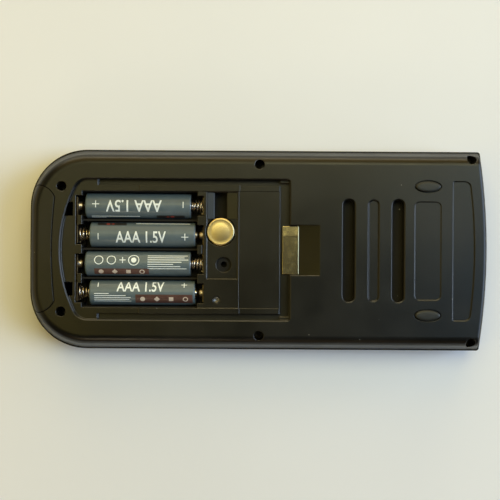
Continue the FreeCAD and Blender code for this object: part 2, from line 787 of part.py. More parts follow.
for name, x, y in screw_points():
    back_cuts.append(cylinder(f"head_bore_{name}", "bore_radius", "case_height", x, y, "z_head"))
    back_cuts.append(cylinder(f"shank_bore_{name}", "shank_radius + shank_clear", "rear_depth", x, y,
                              "z_parting"))

# Coin cell contacts leave through the floor of their block
COIN_LEG_Y = "y_coin - coin_diameter / 4"
COIN_SIDE_X = "x_coin + coin_diameter / 2 + coin_clear"
COIN_SLOT = "coin_plate + 2 * plate_slot_clear"
COIN_TAB_SLOT = "solder_tab_width + 2 * plate_slot_clear"
back_cuts.append(box("coin_leg_slot", COIN_SLOT, COIN_TAB_SLOT, "z_coin_zone - z_parting",
                     "x_coin", COIN_LEG_Y, "z_parting"))
back_cuts.append(box("coin_side_slot", COIN_SLOT, COIN_TAB_SLOT, "case_height - z_parting", COIN_SIDE_X,
                     "y_coin", "z_parting"))

# Grip pad: a skin over the rounded end, drawn in at its waist
grip_block = rounded_block("grip_block", "2 * left_margin", "grip_width", "case_height", "grip_corner",
                           "x_grip_right - left_margin", 0, "z_parting + grip_foot")
grip_waist = cylinder("grip_waist_cut", "((grip_width / 2)^2 + grip_waist^2) / (2 * grip_waist)",
                      "2 * case_height",
                      "x_grip_right - grip_waist + ((grip_width / 2)^2 + grip_waist^2) / (2 * grip_waist)")
grip_region = cut("grip_region", grip_block, grip_waist)
grip_core = case_form("grip_core", "shoulder + grip_thickness", "rear_depth - grip_thickness", "rear_taper",
                      "back_round - grip_thickness")
grip_skin = cut("grip_skin", rear_form, grip_core)
grip_pad = node(common("grip_pad", grip_skin, grip_region))

rails = []
for side, name in SIDES:
    rails.append(span(f"ledge_rail_{name}", "x_bay_left + rail_inset", "x_panel_left",
                      *(("bay_half", "recess_half - side_trench") if side > 0 else
                        ("side_trench - recess_half", "-bay_half")), "z_recess", "z_recess + rail_height"))
rear_cut = cut("rear_cut", rear_solid, joined("rear_cuts", recess_cuts + back_cuts))
rear_railed = joined("rear_railed", [rear_cut] + rails)
rear_plain = cut("rear_plain", rear_railed, grip_pad)


def rim_edges(shape, left, right, half):
    """Names of the edges round the mouths of the hollows in one stretch of the back."""
    names = []
    for name in level_edges(shape, value_of("case_height")):
        edge = shape.getElement(name)
        middle = edge.CenterOfMass
        inside = value_of(left) < middle.x < value_of(right) and abs(middle.y) < value_of(half)
        if inside and len(edge.Vertexes) == 2:
            names.append(name)
    return names


# The mouths of the hollows in the back are bevelled
rear_cover = node(named("PartDesign::Body", "rear_cover"))
rear_cover.BaseFeature = rear_plain
doc.recompute()
RIMS = [("recess_rim", "x_recess_left - rim_bevel", "x_recess_right + rim_bevel", "recess_half + rim_bevel",
         "rim_bevel"),
        ("slot_rims", "x_slot_near - slot_width", "x_slot_far + slot_width", "slot_length", "rim_bevel"),
        ("panel_rims", "x_side_panel - side_panel_width / 2 - fine_bevel", "x_end_right",
         "end_recess_length / 2 + fine_bevel", "fine_bevel")]
back = rear_cover.Tip
for label, left, right, half, size in RIMS:
    back = bevelled(rear_cover, label, back, rim_edges(back.Shape, left, right, half), size)

# Front half of the case: display opening, sunk key field, screw bosses and board posts
front_form = case_form("front_form", "0", "z_parting", "front_taper", "front_round", down=True)
front_hollow = case_form("front_hollow", "side_wall", "z_parting - front_wall", "front_taper", down=True)
front_adds = [
    rounded_block("key_field_block", "key_field_length + 2 * block_wall",
                  "key_field_width + 2 * block_wall",
                  "z_key_seat - front_wall / 2", "key_field_corner + block_wall",
                  "x_mat", 0, "front_wall / 2"),
]
front_cuts = [
    rounded_block("key_field", "key_field_length", "key_field_width", "2 * key_field_depth",
                  "key_field_corner", "x_mat", 0, "-key_field_depth"),
    rounded_block("window_seat", "window_length + 2 * window_clear",
                  "window_width_outer + 2 * window_clear",
                  "window_sink + window_thickness + front_wall", "window_corner + window_clear",
                  "x_display", 0, "-front_wall"),
    rounded_block("window_opening", "window_length - 2 * window_lip", "window_width_outer - 2 * window_lip",
                  "4 * front_wall", "window_corner", "x_display", 0, "-front_wall"),
]
for name, x, y in screw_points():
    front_adds.append(cylinder(f"front_boss_{name}", "boss_radius", "z_parting - front_wall / 2", x, y,
                               "front_wall / 2"))
    front_cuts.append(cylinder(f"front_pilot_{name}", "shank_radius + shank_clear", "shank_length", x, y,
                               "z_head - shank_length - shank_clear"))
for name, x, y in post_points():
    front_adds.append(cylinder(f"board_post_{name}", "post_radius", "z_board - front_wall / 2", x, y,
                               "front_wall / 2"))
    front_cuts.append(cylinder(f"post_pilot_{name}", "board_screw_radius + shank_clear",
                               "board_screw_length", x, y,
                               "z_board_back - board_screw_length - shank_clear"))

# Keys: name, place and size; each cap has a lip that keeps it behind the front wall
KEYS = {
    "key_up": ("x_cursor + arrow_reach", "0", "arrow_key_length", "arrow_key_width"),
    "key_down": ("x_cursor - arrow_reach", "0", "arrow_key_length", "arrow_key_width"),
    "key_left": ("x_cursor", "arrow_reach", "arrow_key_width", "arrow_key_length"),
    "key_right": ("x_cursor", "-arrow_reach", "arrow_key_width", "arrow_key_length"),
    "key_enter": ("x_cursor", "0", "enter_key_width", "enter_key_width"),
}
for row, row_name in enumerate(("near", "far")):
    for column in range(4):
        KEYS[f"key_function_{row_name}_{column + 1}"] = (
            f"x_function - {row} * function_key_pitch", f"{1.5 - column} * function_key_pitch",
            "function_key_length", "function_key_width")
domes = []
for name, (x, y, length, width) in KEYS.items():
    corner = "enter_key_width / 2 - key_clear" if name == "key_enter" else "key_corner"
    cap = rounded_block(f"{name}_cap", length, width, "key_wall + key_height + seat_gap + key_flange / 2",
                        corner, x, y, "key_field_depth - key_height", bottom_round="key_round")
    lip = rounded_block(f"{name}_lip", f"{length} + 2 * key_lip", f"{width} + 2 * key_lip", "key_flange",
                        f"{corner} + key_lip", x, y, "z_key_seat + seat_gap")
    node(joined(name, [cap, lip]))
    front_cuts.append(rounded_block(f"{name}_hole", f"{length} + 2 * key_clear", f"{width} + 2 * key_clear",
                                    "4 * key_wall", f"{corner} + key_clear", x, y, "-key_wall"))
    domes.append(cylinder(f"{name}_dome", "dome_radius", "dome_height + mat_thickness / 2", x, y, "z_dome"))

front_shell = cut("front_shell", front_form, front_hollow)
front_inside = common("front_inside", joined("front_adds", front_adds), front_form)
front_cover = node(cut("front_cover", joined("front_solid", [front_shell, front_inside]),
                       joined("front_cuts", front_cuts)))

# Display: window, glass, holding frame and the rubber strips that join glass and board
node(rounded_block("display_window", "window_length", "window_width_outer", "window_thickness",
                   "window_corner", "x_display", 0, "window_sink"))
node(box("display_glass", "glass_length", "glass_width", "glass_thickness", "x_display", 0, "z_glass"))
frame_outer = box("frame_outer", "frame_length", "frame_width", "z_board - front_wall - 2 * seat_gap",
                  "x_display", 0, "front_wall + seat_gap")
frame_inner = box("frame_inner", "glass_length + 2 * window_clear", "glass_width + 2 * window_clear",
                  "2 * z_board", "x_display")
node(cut("display_frame", frame_outer, frame_inner))
for side, name in SIDES:
    node(box(f"zebra_{name}", "glass_length", "zebra_width", "z_board - z_glass_back - 2 * seat_gap",
             "x_display", f"{side} * (glass_width - zebra_width) / 2", "z_glass_back + seat_gap"))

# Key mat with a dome under each key
mat_sheet = span("mat_sheet", "x_mat_left", "x_mat_right", "-mat_half", "mat_half", "z_mat", "z_board")
node(joined("key_mat", [mat_sheet] + domes))

# Circuit board and its parts
board_sheet = span("board_sheet", "board_left", "board_right", "-board_half", "board_half", "z_board",
                   "z_board_back")
board_holes = [cylinder(f"board_hole_{name}", "board_screw_radius + shank_clear", "2 * board_thickness", x,
                        y, "z_board - board_thickness / 2") for name, x, y in post_points()]
node(cut("main_board", board_sheet, joined("board_holes", board_holes)))
chip_sphere = named("Part::Sphere", "chip_sphere")
bind(chip_sphere, Radius="(chip_radius^2 + chip_height^2) / (2 * chip_height)")
place(chip_sphere, "x_label", 0,
      "z_board_back + chip_height - (chip_radius^2 + chip_height^2) / (2 * chip_height)")
chip_block = box("chip_block", "3 * chip_radius", "3 * chip_radius", "2 * chip_height", "x_label", 0,
                 "z_board_back")
node(common("processor", chip_block, chip_sphere))
node(rounded_block("crystal", "crystal_length", "crystal_width", "crystal_width", "crystal_width / 3",
                   "x_label", "chip_radius + 2 * crystal_width", "z_board_back"))
node(group("capacitors", [
    cylinder(f"capacitor_{name}", "capacitor_radius", "capacitor_height", "x_slot_near",
             f"{side} * 2 * capacitor_radius", "z_board_back") for side, name in SIDES]))
node(group("resistors", [
    box(f"resistor_{name}_{column}", "resistor_width", "resistor_length", "resistor_height",
        f"x_panel + {column} * resistor_pitch", f"{side} * resistor_pitch", "z_board_back")
    for side, name in SIDES for column in range(4)]))
node(cylinder("buzzer", "buzzer_radius", "buzzer_height", "x_side_panel", 0, "z_board_back"))
node(joined("reset_switch", [
    box("switch_case", "reset_switch_side", "reset_switch_side", "reset_switch_height", "x_reset",
        "y_reset", "z_board_back"),
    cylinder("switch_plunger", "reset_plunger_radius", "reset_switch_height + reset_plunger_height",
             "x_reset", "y_reset", "z_board_back"),
]))
node(joined("reset_button", [
    capped_bar("reset_pin", "reset_radius", "z_reset_top - z_reset_pin", "reset_round", "x_reset",
               "y_reset", "z_reset_pin"),
    cylinder("reset_collar", "reset_collar_radius", "reset_collar_height", "x_reset", "y_reset",
             f"{TRAY_FLOOR} - seat_gap - reset_collar_height"),
]))

# Battery cells: can with rounded ends and a raised positive end
def battery_cell(number, y):
    turned = number % 2 == 1
    body = named("PartDesign::Body", f"cell_{number}")
    can = round_pad(body, f"cell_{number}_can", "cell_diameter / 2", "cell_length - nub_length", "YZ_Plane")
    ends = [f"Edge{index}" for index, edge in enumerate(can.Shape.Edges, start=1)
            if len(edge.Vertexes) == 1]
    rounded(body, f"cell_{number}_rim", can, ends, "cell_edge")
    round_pad(body, f"cell_{number}_tip", "nub_radius", "cell_length", "YZ_Plane")
    if turned:
        body.Placement = FreeCAD.Placement(Vector(), FreeCAD.Rotation(UP, 180))
        return place(body, "x_bay_left + contact_gap + cell_length", y, "z_cell")
    return place(body, "x_bay_right - contact_gap - cell_length", y, "z_cell")


for number, y in CELL_ROWS.items():
    node(battery_cell(number, y))

# Contact plates: a pressed button meets each positive end, and two plates reach down to the board
POSITIVE = {"contact_left_upper": 1, "contact_left_lower": 3, "contact_right_middle": 2,
            "contact_right_lower": 4}
for name, (x, y, length) in PLATES.items():
    pieces = [box(f"{name}_plate", "plate_thickness", length, "plate_height", f"{x} + plate_thickness / 2",
                  y, "z_plate")]
    if name in POSITIVE:
        start = x if "left" in name else f"{x} + plate_thickness - button_length"
        pieces.append(cylinder(f"{name}_button", "button_radius", "button_length", start,
                               CELL_ROWS[POSITIVE[name]], "z_cell", along_x=True))
    if name in TABBED:
        pieces.append(box(f"{name}_tab", "plate_thickness", "solder_tab_width",
                          "z_plate - z_board_back + plate_width / 2",
                          f"{x} + plate_thickness / 2", y, "z_board_back"))
    node(joined(name, pieces))


def biarc(start, start_way, end, end_way):
    """Two arcs that join two points and meet their directions."""
    chord = end - start
    both = start_way + end_way
    spread = 2 * (1 - start_way.dot(end_way))
    along = chord.dot(both)
    reach = (math.sqrt(along ** 2 + spread * chord.dot(chord)) - along) / spread
    meeting = (start + start_way * reach + end - end_way * reach) * 0.5
    arcs = []
    for first, corner, last in ((start, start + start_way * reach, meeting),
                                (meeting, end - end_way * reach, end)):
        middle = (first + last) * 0.5
        half_turn = math.atan2((corner - middle).Length, (last - first).Length / 2)
        share = math.tan(half_turn / 2) / math.tan(half_turn)
        arcs.append(Part.Arc(first, middle + (corner - middle) * share, last).toShape())
    return arcs


def least_gap(points, wire, quarter):
    """Smallest clear distance between turns, measured on points along the wire."""
    distances = [(points[i] - points[j]).Length for i in range(len(points))
                 for j in range(i + 3 * quarter, len(points))]
    return min(distances) - wire


def coil_spring(label, x, y, z, way):
    """A tapered spring that grows from its plate at x towards the cell."""
    wire = value_of("wire_diameter")
    wide, narrow = value_of("spring_base_radius"), value_of("spring_tip_radius")
    turns, length = value_of("spring_turns"), value_of("spring_length") - wire
    sweep = 2 * math.pi * turns

    def at(angle):
        radius = wide + (narrow - wide) * angle / sweep
        return Vector(way * (wire / 2 + length * angle / sweep), radius * math.cos(angle),
                      radius * math.sin(angle))

    def direction(angle):
        radius, shrink = wide + (narrow - wide) * angle / sweep, (narrow - wide) / sweep
        heading = Vector(way * length / sweep, shrink * math.cos(angle) - radius * math.sin(angle),
                         shrink * math.sin(angle) + radius * math.cos(angle))
        return heading.normalize()

    quarters = round(4 * turns)
    angles = [sweep * index / quarters for index in range(quarters + 1)]
    edges = []
    for first, last in zip(angles, angles[1:]):
        edges += biarc(at(first), direction(first), at(last), direction(last))
    path = Part.Wire(edges)
    section = Part.Wire([Part.Circle(at(0), direction(0), wire / 2).toShape()])
    item = named("Part::Feature", label)
    item.Shape = path.makePipeShell([section], True, False)
    item.Placement.Base = Vector(value_of(x), value_of(y), value_of(z))
    fine = [at(sweep * index / (16 * turns)) for index in range(round(16 * turns) + 1)]
    print(label, "least gap between turns", round(least_gap(fine, wire, 4), 2), "mm, volume over wire",
          round(item.Shape.Volume / (path.Length * math.pi * wire ** 2 / 4), 4))
    return item


for number, y in CELL_ROWS.items():
    if number % 2:
        node(coil_spring(f"spring_{number}", "x_plate_right - contact_gap", y, "z_cell", -1))
    else:
        node(coil_spring(f"spring_{number}", "x_plate_left + plate_thickness + contact_gap", y, "z_cell", 1))

# Coin cell and its two contacts
coin_can = capped_bar("coin_can", "coin_diameter / 2", "coin_height - coin_cap_height", "coin_edge",
                      "x_coin", "y_coin", "z_coin_top - coin_height + coin_cap_height")
coin_cap = cylinder("coin_cap", "coin_cap_radius", "coin_height / 2", "x_coin", "y_coin",
                    "z_coin_top - coin_height")
node(joined("coin_cell", [coin_can, coin_cap]))
node(joined("coin_contact_base", [
    cylinder("coin_base_disc", "coin_cap_radius", "coin_plate", "x_coin", "y_coin", "z_coin_plate"),
    box("coin_base_leg", "coin_plate", "solder_tab_width", "z_coin_plate + coin_plate / 2 - z_board_back",
        "x_coin", COIN_LEG_Y, "z_board_back"),
]))
node(box("coin_contact_side", "coin_plate", "solder_tab_width", "z_coin_top - z_board_back", COIN_SIDE_X,
         "y_coin", "z_board_back"))

# Latch plate and feet
node(span("latch_plate", "x_ramp - seat_gap - latch_length", "x_ramp - seat_gap", "-latch_width / 2",
          "latch_width / 2", "case_height - notch_depth", "case_height - notch_depth + latch_thickness"))
for side, name in SIDES:
    node(oval(f"foot_{name}", "foot_length", "foot_width", "foot_height", "x_side_panel",
              f"{side} * foot_spread / 2", "case_height - foot_seat", "foot_round"))


# Screws: a round head with a cross recess on a plain shank
def screw(label, x, y, seat, head, head_height, shank, length):
    solid = joined(f"{label}_solid", [
        cylinder(f"{label}_head", head, head_height, x, y, seat),
        cylinder(f"{label}_shank", shank, length, x, y, f"{seat} - {length} + {head_height} / 2"),
    ])
    cross = joined(f"{label}_cross", [
        box(f"{label}_cross_{way}", long_side, wide_side, head_height, x, y,
            f"{seat} + {head_height} - drive_depth")
        for way, long_side, wide_side in (("x", head, "drive_width"), ("y", "drive_width", head))
    ])
    return cut(label, solid, cross)


node(group("case_screws", [screw(f"case_screw_{name}", x, y, "z_head", "head_radius", "head_height",
                                 "shank_radius", "shank_length") for name, x, y in screw_points()]))
node(group("board_screws", [screw(f"board_screw_{name}", x, y, "z_board_back", "board_screw_head",
                                  "board_screw_head_height", "board_screw_radius", "board_screw_length")
                            for name, x, y in post_points()]))

# Check every object, then write each piece to its own file
doc.recompute()
for item in doc.Objects:
    if "Invalid" in item.State or "Error" in item.State:
        raise RuntimeError(f"{item.Label} failed: {item.State}")
os.makedirs("parts", exist_ok=True)
for item in nodes:
    if item.Shape.isNull() or not item.Shape.isValid() or not item.Shape.Solids:
        raise RuntimeError(f"{item.Label} has no valid solid")
for item in nodes:
    item.Shape.exportStep(f"parts/{item.Label}.step")
box_all = Part.Compound([item.Shape for item in nodes]).BoundBox
print(len(nodes), "nodes,", sum(len(item.Shape.Solids) for item in nodes), "solids, box",
      [round(number, 2) for number in (box_all.XMin, box_all.XMax, box_all.YMin, box_all.YMax, box_all.ZMin,
                                       box_all.ZMax)])
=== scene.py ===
# %% [markdown]
# # A handheld chess computer, seen from behind
# The machine lies on its front on a sheet of pale paper. Its battery door is off, so the cells, their
# springs and the small button cell show. The solids come from the CAD frame and are never moved: here they
# get their finishes, and the turned, wound and printed pieces are made again with more detail.

# %% Load the frame
import json
import math

import bmesh
import bpy
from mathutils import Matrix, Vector


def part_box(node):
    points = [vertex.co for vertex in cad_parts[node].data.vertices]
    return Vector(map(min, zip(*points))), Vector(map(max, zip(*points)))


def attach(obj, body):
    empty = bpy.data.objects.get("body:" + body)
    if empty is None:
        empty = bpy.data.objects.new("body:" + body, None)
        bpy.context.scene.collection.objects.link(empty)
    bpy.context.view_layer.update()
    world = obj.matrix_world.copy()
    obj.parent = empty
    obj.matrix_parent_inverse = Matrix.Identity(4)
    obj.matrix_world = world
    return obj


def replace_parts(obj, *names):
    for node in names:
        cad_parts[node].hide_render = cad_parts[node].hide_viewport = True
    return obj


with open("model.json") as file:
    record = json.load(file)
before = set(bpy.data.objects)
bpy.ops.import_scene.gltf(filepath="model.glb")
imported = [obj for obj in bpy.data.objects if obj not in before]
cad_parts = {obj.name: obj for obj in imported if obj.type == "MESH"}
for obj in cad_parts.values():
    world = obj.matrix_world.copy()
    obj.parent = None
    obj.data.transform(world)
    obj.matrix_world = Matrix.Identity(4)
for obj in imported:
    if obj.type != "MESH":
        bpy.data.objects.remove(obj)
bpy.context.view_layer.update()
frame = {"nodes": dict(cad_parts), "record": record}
nodes = frame["nodes"]
MM = 0.001
scene = bpy.context.scene
scene.view_settings.view_transform = "Standard"

# %% [markdown]
# ## Camera
# The photograph was taken by hand from straight above, with the machine turned by a third of a degree.
# A lens of 67 mm at 380 mm above the back gives the same spread between the near back and the far table,
# so the flared sides of the case show by the right amount.

# %% Camera above the back
LENS, SENSOR = 67, 36
CAMERA_PLACE = Vector((-3.6, 0.0, 406.0)) * MM
CAMERA_ROLL = math.radians(0.37)
camera_data = bpy.data.cameras.new("camera")
camera_data.sensor_width = SENSOR
camera_data.lens = LENS
camera = bpy.data.objects.new("camera", camera_data)
camera.location = CAMERA_PLACE
camera.rotation_euler = (0, 0, CAMERA_ROLL)
scene.collection.objects.link(camera)
scene.camera = camera
print("camera", round(CAMERA_PLACE.z / MM), "mm above the table")

# %% [markdown]
# ## Helpers for node materials
# Every finish below is a small tree of shader nodes. Setting each node by hand takes many lines, so one
# helper adds a node, sets its options and fills its inputs with numbers or with other nodes' outputs. The
# rest are short names for the sums that come back in every finish.


# %% Node helpers
def add(tree, kind, inputs=None, **options):
    """Add a shader node; inputs hold numbers, colours or sockets, by socket name or number."""
    made = tree.nodes.new("ShaderNode" + kind)
    for option, value in options.items():
        setattr(made, option, value)
    for key, value in (inputs or {}).items():
        if isinstance(value, bpy.types.NodeSocket):
            tree.links.new(value, made.inputs[key])
        else:
            made.inputs[key].default_value = value
    return made


def maths(tree, operation, first, second=0.0):
    return add(tree, "Math", {0: first, 1: second}, operation=operation).outputs[0]


def times(tree, first, second):
    return maths(tree, "MULTIPLY", first, second)


def ramp(tree, value, low, high):
    """Carry a value from low..high to 0..1 with soft ends."""
    step = add(tree, "MapRange", {"Value": value, "From Min": low, "From Max": high},
               interpolation_type="SMOOTHSTEP")
    return step.outputs["Result"]


def between(tree, mask, low, high):
    """Carry a mask from 0..1 to low..high."""
    return add(tree, "MapRange", {"Value": mask, "To Min": low, "To Max": high}).outputs["Result"]


def blend(tree, share, first, second):
    """Mix two colours by a mask; the colour inputs of a Mix node are numbers 6 and 7."""
    return add(tree, "Mix", {0: share, 6: first, 7: second}, data_type="RGBA").outputs[2]


def rgb(red, green, blue):
    return (red, green, blue, 1.0)


def new_group(name, inputs, outputs):
    """Start a shader node group with named sockets; returns the tree, its inputs and its output node."""
    tree = bpy.data.node_groups.new(name, "ShaderNodeTree")
    for label, kind, default in inputs:
        socket = tree.interface.new_socket(label, in_out="INPUT", socket_type=kind)
        socket.default_value = default
    for label, kind in outputs:
        tree.interface.new_socket(label, in_out="OUTPUT", socket_type=kind)
    return tree, tree.nodes.new("NodeGroupInput").outputs, tree.nodes.new("NodeGroupOutput").inputs


def use_group(tree, group, inputs=None):
    return add(tree, "Group", inputs, node_tree=group).outputs


def new_finish(name, **sockets):
    """A material with one Principled shader, whose steady values are set on its own sockets."""
    material = bpy.data.materials.new(name)
    material.use_nodes = True
    tree = material.node_tree
    tree.nodes.clear()
    shader = add(tree, "BsdfPrincipled")
    for key, value in sockets.items():
        shader.inputs[key.replace("_", " ")].default_value = value
    output = tree.nodes.new("ShaderNodeOutputMaterial")
    tree.links.new(shader.outputs[0], output.inputs["Surface"])
    return material, tree, shader


def feed(tree, shader, **links):
    for key, socket in links.items():
        tree.links.new(socket, shader.inputs[key.replace("_", " ")])


print("helpers ready")

# %% [markdown]
# ## Effects that several finishes share
# Moulded plastic is cast against a mould that was etched on purpose, so it has a fine grain. Its edges are
# never razor sharp, they polish where hands rub, and a little dust settles on what faces up. Each effect is
# a node group that puts out masks, heights and normals, and each material gives it its own values. Noise
# keeps near one half, so a ramp over its middle turns it into a mask.

# %% Moulded grain
grain_group, given, put = new_group(
    "moulded_grain",
    [("Fineness", "NodeSocketFloat", 4200.0), ("Unevenness", "NodeSocketFloat", 45.0)],
    [("Height", "NodeSocketFloat"), ("Tone", "NodeSocketFloat")])
place = add(grain_group, "TexCoord").outputs["Object"]
fine = add(grain_group, "TexNoise", {"Vector": place, "Scale": given["Fineness"], "Detail": 2.0})
broad = add(grain_group, "TexNoise", {"Vector": place, "Scale": given["Unevenness"], "Detail": 5.0})
grain_group.links.new(fine.outputs[0], put["Height"])
grain_group.links.new(ramp(grain_group, broad.outputs[0], 0.3, 0.7), put["Tone"])
print(grain_group.name, "made")

# %% Soft edges and their polish
edge_group, given, put = new_group(
    "soft_edges", [("Radius", "NodeSocketFloat", 0.3 * MM), ("Patchiness", "NodeSocketFloat", 180.0)],
    [("Normal", "NodeSocketVector"), ("Edge", "NodeSocketFloat"), ("Wear", "NodeSocketFloat")])
rounding = add(edge_group, "Bevel", {"Radius": given["Radius"]}, samples=6).outputs[0]
facing = add(edge_group, "NewGeometry").outputs["Normal"]
turn = add(edge_group, "VectorMath", {0: rounding, 1: facing}, operation="DOT_PRODUCT").outputs["Value"]
patches = add(edge_group, "TexNoise", {"Vector": add(edge_group, "TexCoord").outputs["Object"],
                                       "Scale": given["Patchiness"], "Detail": 4.0}).outputs[0]
edge = ramp(edge_group, turn, 0.995, 0.85)
worn = times(edge_group, edge, ramp(edge_group, patches, 0.35, 0.65))
edge_group.links.new(rounding, put["Normal"])
edge_group.links.new(edge, put["Edge"])
edge_group.links.new(worn, put["Wear"])
print(edge_group.name, "made")

# %% Dust that settles on upward faces
dust_group, given, put = new_group(
    "settled_dust", [("Spread", "NodeSocketFloat", 240.0), ("Speck", "NodeSocketFloat", 0.055)],
    [("Specks", "NodeSocketFloat"), ("Film", "NodeSocketFloat")])
place = add(dust_group, "TexCoord").outputs["Object"]
cells = add(dust_group, "TexVoronoi", {"Vector": place, "Scale": given["Spread"]})
lot = add(dust_group, "SeparateColor", {0: cells.outputs["Color"]}).outputs[0]
chosen = ramp(dust_group, lot, 0.80, 0.84)
dots = maths(dust_group, "LESS_THAN", cells.outputs["Distance"], given["Speck"])
upward = add(dust_group, "SeparateXYZ", {0: add(dust_group, "NewGeometry").outputs["Normal"]}).outputs[2]
lying = ramp(dust_group, upward, 0.6, 0.95)
drift = add(dust_group, "TexNoise", {"Vector": place, "Scale": 30.0, "Detail": 6.0}).outputs[0]
dust_group.links.new(times(dust_group, times(dust_group, dots, chosen), lying), put["Specks"])
dust_group.links.new(times(dust_group, ramp(dust_group, drift, 0.45, 0.75), lying), put["Film"])
print(dust_group.name, "made")

# %% Rolling lines of sheet metal
lines_group, given, put = new_group(
    "rolling_lines", [("Stretch", "NodeSocketVector", (9000.0, 300.0, 300.0))],
    [("Lines", "NodeSocketFloat"), ("Tarnish", "NodeSocketFloat")])
place = add(lines_group, "TexCoord").outputs["Object"]
drawn = add(lines_group, "VectorMath", {0: place, 1: given["Stretch"]}, operation="MULTIPLY").outputs[0]
lines = add(lines_group, "TexNoise", {"Vector": drawn, "Scale": 1.0, "Detail": 3.0}).outputs[0]
spots = add(lines_group, "TexNoise", {"Vector": place, "Scale": 420.0, "Detail": 5.0}).outputs[0]
lines_group.links.new(lines, put["Lines"])
lines_group.links.new(ramp(lines_group, spots, 0.45, 0.7), put["Tarnish"])
print(lines_group.name, "made")

# %% [markdown]
# ## Black moulded plastic
# The case is charcoal plastic with a satin grain. It is nearly black: what reads as grey is the soft
# reflection of the room, so the base colour stays very dark and the roughness does the work. The hollows
# keep a brownish film of dust, so the colour changes a little with the depth under the back. The floors of
# the deep slots are painted darker and browner, a painted shade. The deep slots and the outer flanks are
# matt, and the steep walls of the recess a little glossier than the back.

# %% Masks by place
BACK_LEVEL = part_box("rear_cover")[1].z
HOLLOW_DEPTHS = 0.2 * MM, 3.5 * MM
FLANK_DEPTHS = 1.0 * MM, 2.5 * MM
PIT_DEPTHS = 4.35 * MM, 4.95 * MM
PIT_FLOORS = 8 * MM, 9 * MM
PITS_MIDDLE = -11 * MM
PITS_REACH = 74 * MM, 31 * MM


def below_back(tree, height, depths):
    """A mask that grows from 0 to 1 between two depths under the back."""
    return ramp(tree, height, BACK_LEVEL - depths[0], BACK_LEVEL - depths[1])


def within(tree, place, reach):
    """A mask of the places nearer to zero than reach, with a border of a millimetre."""
    return ramp(tree, maths(tree, "ABSOLUTE", place), reach, reach - MM)


print("the back lies at", round(BACK_LEVEL / MM, 2), "mm")

# %% Case, grip and foot finishes
WORN_TONE, WORN_SHARE = (0.022, 0.022, 0.021), 0.5
FILM_TONE, FILM_SHARE = (0.20, 0.18, 0.15), 0.02
SPECK_TONE, SPECK_SHARE = (0.35, 0.34, 0.32), 0.5
UNEVEN_GAIN, UNEVEN_SHARE = 1.5, 0.35
SATIN_RANGE = -0.03, 0.05
WALL_POLISH, MATT_ROUGHNESS, FLANK_MATT = 0.12, 0.40, 0.75
EDGE_COAT, WALL_COAT = 0.9, 0.3
# Painted shade: the floors of the deep slots take this darker, browner colour.
PIT_SHADE = 0.0026, 0.0020, 0.0008


def moulded(name, face, roughness, fineness, bump, edge, hollow=None, pit_shade=None):
    """Grained plastic; its three colours are for the back, for recesses and for deep slots, the last painted
    shade.
    """
    material, tree, shader = new_finish(name, Specular_IOR_Level=0.36, Coat_Roughness=0.10)
    grain = use_group(tree, grain_group, {"Fineness": fineness})
    edges = use_group(tree, edge_group, {"Radius": edge})
    dust = use_group(tree, dust_group)
    along, across, height = add(tree, "SeparateXYZ", {0: add(tree, "TexCoord").outputs["Object"]}).outputs
    upward = add(tree, "SeparateXYZ", {0: add(tree, "NewGeometry").outputs["Normal"]}).outputs[2]
    steep = ramp(tree, maths(tree, "ABSOLUTE", upward), 0.6, 0.3)
    inner = times(tree, within(tree, maths(tree, "SUBTRACT", along, PITS_MIDDLE), PITS_REACH[0]),
                  within(tree, across, PITS_REACH[1]))
    above_floor = times(tree, inner, ramp(tree, height, *PIT_FLOORS))
    deep = times(tree, above_floor, below_back(tree, height, PIT_DEPTHS))

    colour = blend(tree, below_back(tree, height, HOLLOW_DEPTHS), rgb(*face), rgb(*(hollow or face)))
    # Painted shade: the deep slots are coloured darker and browner than the back.
    colour = blend(tree, deep, colour, rgb(*(pit_shade or face)))
    for mask, share, tone in (
            (grain["Tone"], UNEVEN_SHARE, [UNEVEN_GAIN * part for part in face]),
            (edges["Wear"], WORN_SHARE, WORN_TONE),
            (dust["Film"], FILM_SHARE, FILM_TONE),
            (dust["Specks"], SPECK_SHARE, SPECK_TONE)):
        colour = blend(tree, times(tree, mask, share), colour, rgb(*tone))

    outside = maths(tree, "SUBTRACT", 1.0, inner)
    flank = times(tree, outside, below_back(tree, height, FLANK_DEPTHS))
    matt = maths(tree, "MAXIMUM", deep, times(tree, flank, FLANK_MATT))
    satin = between(tree, grain["Tone"], roughness + SATIN_RANGE[0], roughness + SATIN_RANGE[1])
    finer = maths(tree, "SUBTRACT", satin, times(tree, steep, WALL_POLISH))
    rough = maths(tree, "ADD", finer, times(tree, matt, MATT_ROUGHNESS))
    glossy = maths(tree, "MAXIMUM", times(tree, edges["Edge"], EDGE_COAT), times(tree, steep, WALL_COAT))
    shine = times(tree, glossy, maths(tree, "SUBTRACT", 1.0, matt))
    bumped = add(tree, "Bump", {"Height": grain["Height"], "Normal": edges["Normal"], "Strength": bump,
                                "Distance": 0.06 * MM}).outputs[0]
    feed(tree, shader, Base_Color=colour, Roughness=rough, Coat_Weight=shine, Normal=bumped,
         Coat_Normal=bumped)
    return material


case_finish = moulded("case_plastic", (0.0034, 0.0034, 0.0031), 0.31, 4200, 0.30, 0.4 * MM,
                      hollow=(0.0064, 0.0058, 0.0042), pit_shade=PIT_SHADE)
grip_finish = moulded("grip_rubber", (0.0040, 0.0040, 0.0034), 0.36, 6500, 0.22, 0.4 * MM)
# Painted shade: the foot's recess colour darkens the part that sinks into its gap.
foot_finish = moulded("foot_rubber", (0.014, 0.015, 0.014), 0.42, 5200, 0.40, 0.3 * MM,
                      hollow=(0.004, 0.004, 0.004), pit_shade=PIT_SHADE)
key_finish = moulded("key_plastic", (0.060, 0.064, 0.070), 0.40, 4600, 0.25, 0.2 * MM)
frame_finish = moulded("inner_plastic", (0.018, 0.018, 0.018), 0.50, 3800, 0.30, 0.2 * MM)
print("plastics", case_finish.name, grip_finish.name, foot_finish.name, key_finish.name, frame_finish.name)
